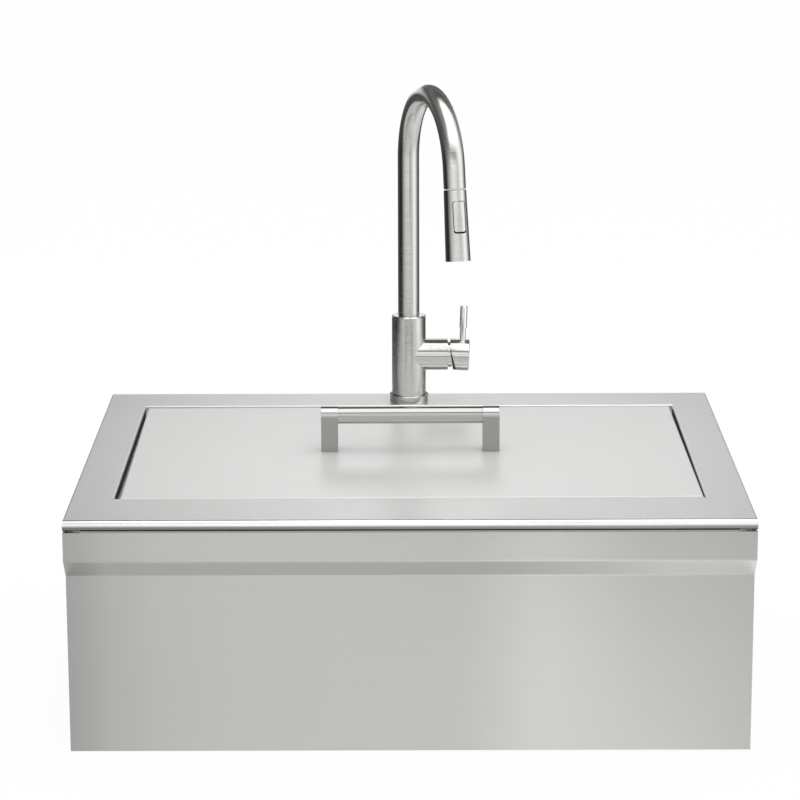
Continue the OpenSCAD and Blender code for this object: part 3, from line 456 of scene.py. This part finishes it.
def polishedSteel(name, look):
    maker = MaterialMaker(name)
    place = maker.place()
    swirl = maker.noise(place, 260.0, 3.0, 0.6)
    water = maker.noise(place, 55.0, 2.0)
    rough = look["rough"] + (swirl - 0.5) * 0.06 + maker.band(water, 0.55, 0.75) * 0.07
    return maker.surface({
        "Base Color": maker.tint(look["colour"], 1 + (water - 0.5) * look["cloud"]),
        "Metallic": 1.0,
        "Roughness": maker.clamp(rough, 0.03, 1.0),
        "Normal": maker.bump(swirl, 0.12, 0.03 * mm),
    })


def turnedBrass(name, look):
    maker = MaterialMaker(name)
    place = maker.place()
    rings = maker.noise(maker.stretched(place, look["grain"]), 1.0, 2.0)
    tarnish = maker.noise(place, 70.0, 4.0, 0.65)
    spots = maker.band(tarnish, 0.5, 0.7)
    return maker.surface({
        "Base Color": maker.mixed(spots * 0.5, rgb(*look["colour"]), rgb(*look["dull"])),
        "Metallic": 1.0,
        "Roughness": look["rough"] + spots * 0.2 + (rings - 0.5) * 0.1,
        "Normal": maker.bump(rings, 0.3, 0.05 * mm),
    })


def weldedMetal(name, look):
    maker = MaterialMaker(name)
    place = maker.place()
    heat = maker.noise(place, 90.0, 3.0, 0.6)
    scale = maker.noise(place, 1400.0, 2.0)
    straw = maker.band(heat, 0.45, 0.7)
    return maker.surface({
        "Base Color": maker.mixed(straw, rgb(*look["colour"]), rgb(*look["burnt"])),
        "Metallic": 1.0,
        "Roughness": look["rough"] + (scale - 0.5) * 0.2,
        "Normal": maker.bump(scale, 0.4, 0.05 * mm),
    })


def mouldedSkin(name, look):
    maker = MaterialMaker(name)
    place = maker.place()
    pores = maker.noise(place, look["grainScale"], 4.0, 0.6)
    worn = maker.band(maker.noise(place, 45.0, 3.0, 0.6), 0.5, 0.75)
    return maker.surface({
        "Base Color": maker.mixed(worn * look["dust"], rgb(*look["colour"]), rgb(*look["dusty"])),
        "Roughness": look["rough"] + (pores - 0.5) * 0.15 + worn * 0.1,
        "Normal": maker.bump(pores, look["bump"], 0.1 * mm),
    })


# Grey nylon sleeve over the hose: rows of stitches round it, crossed by a long twist
def wovenSleeve(name, look):
    maker = MaterialMaker(name)
    along = maker.kept("along")
    row = maker.maths("SINE", along * look["rows"])
    place = maker.place()
    strand = maker.maths("SINE", (maker.axis(place, "X") + maker.axis(place, "Y")) * look["strands"])
    weave = row * strand
    lit = maker.band(weave, -0.6, 0.6)
    fuzz = maker.noise(place, 900.0, 3.0, 0.6)
    return maker.surface({
        "Base Color": maker.mixed(lit, rgb(*look["dark"]), rgb(*look["colour"])),
        "Roughness": look["rough"] + (fuzz - 0.5) * 0.2,
        "Normal": maker.bump(weave + fuzz * 0.4, 0.8, 0.15 * mm),
    })


# Finishes. Grain is in waves a metre along each axis, low along the brushing
upGrain, sideGrain = (30, 30, 2200), (2200, 30, 30)
tapSteel = {"colour": (0.64, 0.635, 0.615), "streak": 0.08, "cloud": 0.02, "rough": 0.14, "roughVary": 0.05,
            "bump": 1.0, "depth": 0.10, "waves": 0.1}
finishes = {
    "deck": {"colour": (0.87, 0.87, 0.86), "grain": (5, 1500, 1500), "streak": 0.05, "cloud": 0.03,
             "rough": 0.36, "roughVary": 0.06, "bump": 1.0, "depth": 0.06, "waves": 0.3, "metal": 0.85,
             # painted shade towards the left end
             "paintedShadeAcross": ((-0.381, 0.90), (-0.25, 0.95), (-0.05, 1.0), (0.381, 1.0)),
             # painted shade on the lower half of the front lip, and a painted highlight on the lip
             "under": (deckHigh[2] - 7.4 * mm, deckHigh[2] - 5 * mm, 0.30),
             "lip": (deckLow[1] + 4.5 * mm, deckLow[1] + 6.5 * mm, 0.14, 1.12)},
    "lid": {"colour": (0.73, 0.73, 0.72), "grain": (5, 1900, 1900), "streak": 0.04, "cloud": 0.03,
            "rough": 0.34, "roughVary": 0.06, "bump": 1.0, "depth": 0.06, "waves": 0.2, "metal": 0.28,
            # painted shade towards the left end
            "paintedShadeAcross": ((-0.33, 0.94), (-0.1, 1.0), (0.33, 1.0))},
    "apron": {"colour": (0.69, 0.69, 0.67), "grain": (4, 900, 900), "streak": 0.05, "cloud": 0.05,
              "cloudScale": 3.0, "rough": 0.34, "roughVary": 0.06, "bump": 0.14,
              # painted shade from left to right across the apron
              "paintedShadeAcross": ((-0.381, 0.72), (-0.361, 0.77), (-0.335, 0.86), (-0.283, 0.94), (-0.2, 0.96),
                       (-0.08, 0.945), (0.028, 0.90), (0.054, 0.89), (0.08, 0.915), (0.135, 0.995),
                       (0.16, 0.99), (0.21, 0.93), (0.262, 0.87), (0.339, 0.86), (0.381, 0.84)),
              # painted light and shade on the sloping step, from left to right
              "step": (stepFoot, bandFoot, (
                  (-0.381, 1.05), (-0.361, 1.11), (-0.335, 1.2), (-0.309, 1.1), (-0.283, 1.05),
                  (-0.22, 1.0), (0.054, 1.0), (0.08, 0.95), (0.12, 0.88), (0.158, 0.90), (0.184, 0.975),
                  (0.21, 1.04), (0.262, 1.26), (0.287, 1.35), (0.339, 1.42), (0.381, 1.42)))},
    "side": {"colour": (0.66, 0.66, 0.64), "grain": (900, 5, 900), "streak": 0.05, "cloud": 0.05,
             "rough": 0.34, "roughVary": 0.06, "bump": 0.16},
    "bowl": {"colour": (0.64, 0.64, 0.63), "grain": (12, 1100, 1100), "streak": 0.08, "cloud": 0.06,
             "rough": 0.36, "roughVary": 0.10, "bump": 0.25},
    "mill": {"colour": (0.50, 0.50, 0.49), "grain": (500, 500, 500), "streak": 0.08, "cloud": 0.12,
             "rough": 0.42, "roughVary": 0.12, "bump": 0.3},
    "bar": {"colour": (0.46, 0.46, 0.445), "grain": (14, 900, 900), "streak": 0.22, "cloud": 0.02,
            "rough": 0.11, "roughVary": 0.06, "bump": 0.1},
    "post": {"colour": (0.52, 0.52, 0.505), "grain": (2600, 2600, 60), "streak": 0.06, "cloud": 0.02,
             # painted shade below the bar's height, so the posts' round tops read lighter
             "under": (barHeight - mm, barHeight + mm, 0.66),
             "rough": 0.14, "roughVary": 0.06, "bump": 0.1},
    "tube": {**tapSteel, "follow": "along", "lines": 1900.0},
    "upright": {**tapSteel, "colour": (0.63, 0.625, 0.605), "grain": upGrain, "rough": 0.12,
                "depth": 0.13, "waves": 0.0, "branch": (tapPlace, 21.4 * mm, sideGrain)},
    "grip": {"colour": (0.86, 0.855, 0.83), "grain": (30, 30, 1600), "streak": 0.06, "cloud": 0.02,
             "rough": 0.10, "roughVary": 0.05, "bump": 0.3},
    "head": {**tapSteel, "grain": upGrain, "turn": (math.radians(neckLean), 0, 0)},
    "sideways": {**tapSteel, "grain": sideGrain},
    "flange": {**tapSteel, "colour": (0.58, 0.575, 0.555), "grain": upGrain, "rough": 0.10,
               "depth": 0.16, "waves": 0.0},
    "polish": {"colour": (0.72, 0.72, 0.70), "cloud": 0.06, "rough": 0.09},
    "brass": {"colour": (0.76, 0.56, 0.28), "dull": (0.42, 0.28, 0.13), "grain": (90, 90, 2400),
              "rough": 0.28},
    "weld": {"colour": (0.46, 0.45, 0.43), "burnt": (0.34, 0.25, 0.16), "rough": 0.4},
    "rubber": {"colour": (0.022, 0.022, 0.023), "dusty": (0.10, 0.10, 0.10), "dust": 0.3,
               "grainScale": 900.0, "rough": 0.62, "bump": 0.4},
    "darkPlastic": {"colour": (0.02, 0.02, 0.022), "dusty": (0.07, 0.07, 0.07), "dust": 0.2,
                    "grainScale": 1400.0, "rough": 0.42, "bump": 0.25},
    "palePlastic": {"colour": (0.80, 0.80, 0.78), "dusty": (0.62, 0.61, 0.57), "dust": 0.2,
                    "grainScale": 1200.0, "rough": 0.35, "bump": 0.15},
    "pad": {"colour": (0.06, 0.06, 0.065), "dusty": (0.16, 0.16, 0.16), "dust": 0.35,
            "grainScale": 420.0, "rough": 0.85, "bump": 0.9},
    "hose": {"colour": (0.44, 0.44, 0.45), "dark": (0.10, 0.10, 0.105), "rows": 2 * math.pi / (2.2 * mm),
             "strands": 2 * math.pi / (3.2 * mm), "rough": 0.55},
}

makers = {
    "polish": polishedSteel, "brass": turnedBrass, "weld": weldedMetal, "hose": wovenSleeve,
    "rubber": mouldedSkin, "darkPlastic": mouldedSkin, "palePlastic": mouldedSkin, "pad": mouldedSkin,
}
skins = {name: makers.get(name, brushedSteel)(name, look) for name, look in finishes.items()}
print("finishes mixed:", len(skins))

# Which finish each CAD node wears
worn = {
    "deck": ["deck"],
    "lid": ["lid_panel"],
    "apron": ["front_apron", "rear_rail"],
    "side": ["side_panel_left", "side_panel_right"],
    "bowl": ["basin"],
    "mill": ["joint_strip_left", "joint_strip_right", "joint_strip_front", "tap_stiffener",
             "lid_stiffener", "shank_plate", "handle_screws"],
    "bar": ["handle_bar"],
    "post": ["handle_post_left", "handle_post_right"],
    "upright": ["tap_body", "spout"],
    "grip": ["lever_rod", "lever_grip"],
    "flange": ["base_flange", "body_rim"],
    "head": ["spray_head", "spray_button"],
    "sideways": ["lever_hub", "control_neck"],
    "polish": ["waste_body", "basket", "basket_knob", "tailpiece",
               "hose_tail_sleeve", "hose_head_sleeve"],
    "rubber": ["waste_gasket", "basket_stopper", "lid_rests", "base_gasket", "shank_washer",
               "spout_seals"],
    "darkPlastic": ["spout_bush", "spray_core", "spray_face", "hub_screw", "hub_seal"],
    "palePlastic": ["docking_collar", "aerator", "waste_slip_ring", "valve_cartridge"],
    "brass": ["waste_locknut", "tailpiece_nut", "tap_shank", "shank_nut", "supply_nipples",
              "button_pin", "cartridge_nut", "lever_stem", "lever_pin"],
    "pad": ["sound_pads_side", "sound_pads_floor"],
    "hose": ["spray_hose"],
}
for finish, names in worn.items():
    for name in names:
        for place in nodes[name].material_slots:
            place.material = skins[finish]
bare = sorted(set(nodes) - {n for names in worn.values() for n in names})
print("CAD nodes dressed; left bare:", bare)


# Pieces made here: Geometry Nodes for what repeats or follows a path, rounded copies for sharp blocks
weldGap = 2e-6  # points closer than this are one


class ShapeMaker(TreeMaker):
    def __init__(self, name):
        super().__init__(bpy.data.node_groups.new(name, "GeometryNodeTree"))
        for side in ("INPUT", "OUTPUT"):
            self.tree.interface.new_socket("Shape", in_out=side, socket_type="NodeSocketGeometry")
        self.inside = self.tree.nodes.new("NodeGroupInput")

    def given(self, label, value=0.0, kind="Float"):
        made = self.tree.interface.new_socket(label, in_out="INPUT", socket_type="NodeSocket" + kind)
        made.default_value = value
        return Wire(self, self.inside.outputs[label])

    def start(self):
        return Wire(self, self.inside.outputs["Shape"])

    def joined(self, *parts):
        made = self.tree.nodes.new("GeometryNodeJoinGeometry")
        for part in parts:
            self.tree.links.new(part.socket, made.inputs[0])
        return Wire(self, made.outputs[0])

    def finish(self, shape, material):
        real = self.node("GeometryNodeRealizeInstances", None, {0: shape})
        skinned = self.node("GeometryNodeSetMaterial", None, {"Geometry": real, "Material": material})
        self.node("NodeGroupOutput", None, {0: skinned})
        return self.tree


def grow(tree, sizes, points=((0, 0, 0),), edges=()):
    seed = bpy.data.meshes.new("seed")
    seed.from_pydata([tuple(p) for p in points], list(edges), [])
    holder = bpy.data.objects.new("seed", seed)
    bpy.context.scene.collection.objects.link(holder)
    shaping = holder.modifiers.new("shaping", "NODES")
    shaping.node_group = tree
    for item in tree.interface.items_tree:
        if item.in_out == "INPUT" and item.name in sizes:
            shaping[item.identifier] = sizes[item.name]
    solved = bpy.context.evaluated_depsgraph_get()
    mesh = bpy.data.meshes.new_from_object(holder.evaluated_get(solved), depsgraph=solved)
    holder.modifiers.remove(shaping)
    bpy.data.objects.remove(holder)
    bpy.data.meshes.remove(seed)
    return mesh


def chain(points, closed=False):
    edges = [(i, i + 1) for i in range(len(points) - 1)]
    return edges + [(len(points) - 1, 0)] if closed else edges


def seal(mesh, angle):
    shape = bmesh.new()
    shape.from_mesh(mesh)
    bmesh.ops.remove_doubles(shape, verts=shape.verts, dist=weldGap)
    bmesh.ops.recalc_face_normals(shape, faces=shape.faces)
    shape.to_mesh(mesh)
    shape.free()
    mesh.polygons.foreach_set("use_smooth", [True] * len(mesh.polygons))
    mesh.set_sharp_from_angle(angle=math.radians(angle))
    return mesh


def keep(name, mesh, body, finish, slotName, *stoodFor):
    mesh.name = name
    mesh.materials.clear()
    mesh.materials.append(skins[finish])
    made = bpy.data.objects.new(name, mesh)
    bpy.context.scene.collection.objects.link(made)
    if body:
        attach(made, body)
    if stoodFor:
        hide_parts(*stoodFor)
    return made


# Gooseneck path, measured from the tap's foot on the deck
spoutShape = {
    "turn": 17.5, "bend": 90.5 * mm, "bendHeight": 311 * mm, "lean": neckLean, "straight": 23.3 * mm,
    "start": 64.2 * mm, "outside": 26.8 * mm, "wall": 1.3 * mm, "arcSteps": 84, "around": 56,
}
tapFoot = Vector((0, tapPlace[1], deckHigh[2]))


def neckPoint(shape, outward, height):
    turn = math.radians(shape["turn"])
    return tapFoot + Vector((outward * math.sin(turn), -outward * math.cos(turn), height))


def neckPath(shape, start):
    bend, high, last = shape["bend"], shape["bendHeight"], 180 - shape["lean"]
    points = [neckPoint(shape, 0, start), neckPoint(shape, 0, (start + high) / 2)]
    for i in range(shape["arcSteps"] + 1):
        angle = math.radians(last * i / shape["arcSteps"])
        points.append(neckPoint(shape, bend - bend * math.cos(angle), high + bend * math.sin(angle)))
    angle, straight = math.radians(last), shape["straight"]
    outward = bend - bend * math.cos(angle) + straight * math.sin(angle)
    points.append(neckPoint(shape, outward, high + bend * math.sin(angle) + straight * math.cos(angle)))
    return points


# A pipe along a path: outer skin, the same skin pushed in by the wall, and the two end rings
def pipeTree(name, material):
    maker = ShapeMaker(name)
    outside, wall = maker.given("Outside"), maker.given("Wall")
    around = maker.given("Around", 32, "Int")
    curve = maker.node("GeometryNodeMeshToCurve", None, {"Mesh": maker.start()})
    travelled = maker.node("GeometryNodeSplineParameter", None, None, "Length")
    curve = maker.node(
        "GeometryNodeStoreNamedAttribute", {"data_type": "FLOAT", "domain": "POINT"},
        {"Geometry": curve, "Name": "along", "Value": travelled},
    )
    ring = {"Resolution": around, "Radius": outside / 2}
    section = maker.node("GeometryNodeCurvePrimitiveCircle", None, ring)
    skin = maker.node("GeometryNodeCurveToMesh", None, {"Curve": curve, "Profile Curve": section})
    pushed = maker.node(
        "GeometryNodeExtrudeMesh", {"mode": "FACES"},
        {"Mesh": skin, "Offset Scale": wall * -1.0, "Individual": False}, "Mesh",
    )
    both = maker.joined(skin, pushed)
    whole = maker.node("GeometryNodeMergeByDistance", None, {"Geometry": both, "Distance": weldGap})
    return maker.finish(whole, material)


neck = neckPath(spoutShape, spoutShape["start"])
pipe = pipeTree("pipeAlongPath", skins["tube"])
tube = grow(
    pipe,
    {"Outside": spoutShape["outside"], "Wall": spoutShape["wall"], "Around": spoutShape["around"]},
    neck, chain(neck),
)
keep("spoutTube", seal(tube, 40), "spout", "tube", "tap_steel", "spout")
print("spout tube:", len(tube.polygons), "faces")


# Hose: the part that stays in the neck, and the part from near the spout's end into the spray head
hoseShape = {
    "outside": 12 * mm, "wall": 2 * mm, "around": 28,
    "tail": 78 * mm,  # below the deck
    "runStart": 45 * mm,  # back from the spout's end
    "runStep": 1.6 * mm,
    "into": 12 * mm,  # past the spout's end, in the spray head
    "pull": 140 * mm,
}


def makeHose(shape, neckShape):
    path = neckPath(neckShape, -shape["tail"])
    lengths = [0.0]
    for a, b in zip(path, path[1:]):
        lengths.append(lengths[-1] + (b - a).length)
    cut = lengths[-1] - shape["runStart"]
    stay = [p for p, s in zip(path, lengths) if s < cut]
    after = next(i for i, s in enumerate(lengths) if s >= cut)
    part = (cut - lengths[after - 1]) / (lengths[after] - lengths[after - 1])
    join = path[after - 1].lerp(path[after], part)
    stay.append(join)
    sizes = {"Outside": shape["outside"], "Wall": shape["wall"], "Around": shape["around"]}
    hose = pipeTree("hoseAlongPath", skins["hose"])
    inner = grow(hose, sizes, stay, chain(stay))
    keep("hoseInside", seal(inner, 40), "spout", "hose", "hose_braid", "spray_hose")
    away = (path[-1] - path[-2]).normalized()
    far = path[-1] + away * shape["into"]
    corners = [join] + path[after:] + [far]
    run = []
    for a, b in zip(corners, corners[1:]):
        count = max(1, round((b - a).length / shape["runStep"]))
        run += [a.lerp(b, i / count) for i in range(count)]
    run.append(far)
    outer = grow(hose, sizes, run, chain(run))
    atRest = shape["runStart"] + shape["into"]
    for mark in outer.attributes["along"].data:
        mark.value = mark.value * (atRest + shape["pull"]) / atRest
    piece = keep("hoseRun", seal(outer, 40), None, "hose", "hose_braid")
    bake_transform(piece)
    return len(inner.polygons) + len(outer.polygons)


print("hose:", makeHose(hoseShape, spoutShape), "faces")


# Rounded copies of the sharp-edged blocks: welded, flat faces joined, then a small round on sharp edges
blockAngles = {"flat": 0.6, "sharp": 35, "smooth": 17}  # degrees
blocks = {
    "handle_post_left": {"round": 0.45 * mm, "body": "lid", "finish": "post", "slot": "handle_steel"},
    "handle_post_right": {"round": 0.45 * mm, "body": "lid", "finish": "post", "slot": "handle_steel"},
    "spray_button": {"round": 0.3 * mm, "body": "button", "finish": "head", "slot": "tap_steel"},
}


def rounded(source, look, angles):
    shape = bmesh.new()
    shape.from_mesh(nodes[source].data)
    bmesh.ops.remove_doubles(shape, verts=shape.verts, dist=weldGap)
    bmesh.ops.dissolve_limit(
        shape, angle_limit=math.radians(angles["flat"]), use_dissolve_boundaries=False,
        verts=shape.verts, edges=shape.edges,
    )
    least = math.radians(angles["sharp"])
    sharp = [e for e in shape.edges if e.is_manifold and e.calc_face_angle(0) > least]
    bmesh.ops.bevel(
        shape, geom=sharp, offset=look["round"], offset_type="OFFSET", segments=2, profile=0.5,
        affect="EDGES", clamp_overlap=True,
    )
    bmesh.ops.recalc_face_normals(shape, faces=shape.faces)
    mesh = bpy.data.meshes.new(source + "Rounded")
    shape.to_mesh(mesh)
    shape.free()
    mesh.polygons.foreach_set("use_smooth", [True] * len(mesh.polygons))
    mesh.set_sharp_from_angle(angle=math.radians(angles["smooth"]))
    keep(source + "Rounded", mesh, look["body"], look["finish"], look["slot"], source)


for source, look in blocks.items():
    rounded(source, look, blockAngles)
print("posts and button rounded")


# Thread on the tap's shank: a spiral ridge of square section, half sunk in the plain pipe
shankThread = {"radius": 16.45 * mm, "pitch": 1.6 * mm, "depth": 0.42 * mm,
               "from": 1.0 * mm, "length": 42 * mm}


def threadTree(name, material):
    maker = ShapeMaker(name)
    radius, pitch = maker.given("Radius"), maker.given("Pitch")
    length, depth = maker.given("Length"), maker.given("Depth")
    foot = maker.given("Foot", (0.0, 0.0, 0.0), "Vector")
    spiral = maker.node(
        "GeometryNodeCurveSpiral", None,
        {"Resolution": 40, "Rotations": length / pitch, "Start Radius": radius, "End Radius": radius,
         "Height": length},
    )
    section = maker.node("GeometryNodeCurvePrimitiveCircle", None, {"Resolution": 4, "Radius": depth})
    ridge = maker.node(
        "GeometryNodeCurveToMesh", None, {"Curve": spiral, "Profile Curve": section, "Fill Caps": True}
    )
    placed = maker.node("GeometryNodeTransform", None, {"Geometry": ridge, "Translation": foot})
    return maker.finish(placed, material)


low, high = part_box("tap_shank")
ridge = grow(threadTree("threadRidge", skins["brass"]), {
    "Radius": shankThread["radius"], "Pitch": shankThread["pitch"],
    "Length": shankThread["length"], "Depth": shankThread["depth"],
    "Foot": ((low[0] + high[0]) / 2, (low[1] + high[1]) / 2, low[2] + shankThread["from"]),
})
keep("shankThread", seal(ridge, 35), "sink", "brass", "brass")
print("thread cut:", len(ridge.polygons), "faces")


# Weld seam under the ledge: one bead after another round the bowl
seam = {"width": 3.2 * mm, "pitch": 3.0 * mm, "cornerRadius": 37 * mm, "below": 1.5 * mm}


def seamTree(name, material):
    maker = ShapeMaker(name)
    width, pitch = maker.given("Width"), maker.given("Pitch")
    curve = maker.node("GeometryNodeMeshToCurve", None, {"Mesh": maker.start()})
    even = maker.node("GeometryNodeResampleCurve", {"mode": "LENGTH"}, {"Curve": curve, "Length": pitch / 4})
    travelled = maker.node("GeometryNodeSplineParameter", None, None, "Length")
    ripple = maker.maths("SINE", travelled * (2 * math.pi) / pitch) * 0.16 + 1
    swollen = maker.node("GeometryNodeSetCurveRadius", None, {"Curve": even, "Radius": ripple})
    section = maker.node("GeometryNodeCurvePrimitiveCircle", None, {"Resolution": 8, "Radius": width / 2})
    bead = maker.node("GeometryNodeCurveToMesh", None, {"Curve": swollen, "Profile Curve": section})
    return maker.finish(bead, material)


def loopPoints(low, high, radius, z, steps=8):
    left, right, front, back = low[0] + radius, high[0] - radius, low[1] + radius, high[1] - radius
    points = []
    for turn, x, y in ((0, right, back), (90, left, back), (180, left, front), (270, right, front)):
        for i in range(steps + 1):
            angle = math.radians(turn + 90 * i / steps)
            points.append((x + radius * math.cos(angle), y + radius * math.sin(angle), z))
    return points


low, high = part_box("basin")
bowlEdge = loopPoints(low, high, seam["cornerRadius"], high[2] - seam["below"])
seamSizes = {"Width": seam["width"], "Pitch": seam["pitch"]}
bead = grow(seamTree("weldSeam", skins["weld"]), seamSizes, bowlEdge, chain(bowlEdge, True))
keep("bowlSeam", seal(bead, 60), "sink", "weld", "bowl_steel")
print("bowl seam:", len(bead.polygons), "faces")


# Spot welds: shallow round bumps in rows along the strips
spots = {"radius": 2.6 * mm, "height": 0.25 * mm, "spacing": 70 * mm,
         "inset": 30 * mm, "above": 6 * mm, "behind": 3.2 * mm}


def spotTree(name, material):
    maker = ShapeMaker(name)
    radius, height = maker.given("Radius"), maker.given("Height")
    turn = maker.given("Turn", (0.0, 0.0, 0.0), "Vector")
    spot = maker.node(
        "GeometryNodeMeshCone", None,
        {"Vertices": 20, "Side Segments": 1, "Radius Top": radius * 0.72, "Radius Bottom": radius,
         "Depth": height},
    )
    facing = maker.node("GeometryNodeTransform", None, {"Geometry": spot, "Rotation": turn})
    row = maker.node("GeometryNodeInstanceOnPoints", None, {"Points": maker.start(), "Instance": facing})
    return maker.finish(row, material)


spotPattern = spotTree("spotWelds", skins["weld"])


def spotRow(name, first, last, turn):
    first, last = Vector(first), Vector(last)
    count = max(2, round((last - first).length / spots["spacing"]) + 1)
    points = [first.lerp(last, i / (count - 1)) for i in range(count)]
    row = grow(spotPattern, {"Radius": spots["radius"], "Height": spots["height"], "Turn": turn}, points)
    keep(name, seal(row, 35), "sink", "weld", "frame_steel")


quarter, inset = math.pi / 2, spots["inset"]
for side, hand in ((-1, "left"), (1, "right")):
    low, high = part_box("joint_strip_" + hand)
    x = high[0] if side < 0 else low[0]
    z = low[2] + spots["above"]
    first, last = (x, low[1] + inset, z), (x, high[1] - inset, z)
    spotRow("stripSpots" + hand.capitalize(), first, last, (0, -side * quarter, 0))
low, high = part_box("joint_strip_front")
y, z = low[1] + spots["behind"], low[2] + spots["above"]
spotRow("stripSpotsFront", (low[0] + inset, y, z), (high[0] - inset, y, z), (-quarter, 0, 0))
print("spot welds placed")


# Painted shade: black strips on the two side walls of the lid's recess make the gaps beside the lid read dark
gapShadeSize = {"thick": 0.8 * mm, "foot": 264.5 * mm, "top": 273.2 * mm, "wall": 332.5 * mm,
          "from": -196 * mm, "to": 226 * mm, "round": 0.3 * mm}


def gapShadeStrip(name, shape, side):
    inner, outer = side * (shape["wall"] - shape["thick"]), side * shape["wall"]
    strip = bmesh.new()
    bmesh.ops.create_cube(strip, size=1.0)
    start, end, foot, top = (shape[k] for k in ("from", "to", "foot", "top"))
    centre = Vector(((inner + outer) / 2, (start + end) / 2, (foot + top) / 2))
    size = (shape["thick"], end - start, top - foot)
    for corner in strip.verts:
        corner.co = centre + Vector([c * s for c, s in zip(corner.co, size)])
    bmesh.ops.bevel(strip, geom=strip.edges[:], offset=shape["round"], offset_type="OFFSET", segments=2,
                    profile=0.5, affect="EDGES")
    mesh = bpy.data.meshes.new(name)
    strip.to_mesh(mesh)
    strip.free()
    keep(name, seal(mesh, 40), "sink", "rubber", "black_rubber")


for side, hand in ((-1, "Left"), (1, "Right")):
    gapShadeStrip("recessLining" + hand, gapShadeSize, side)
print("recess lined")
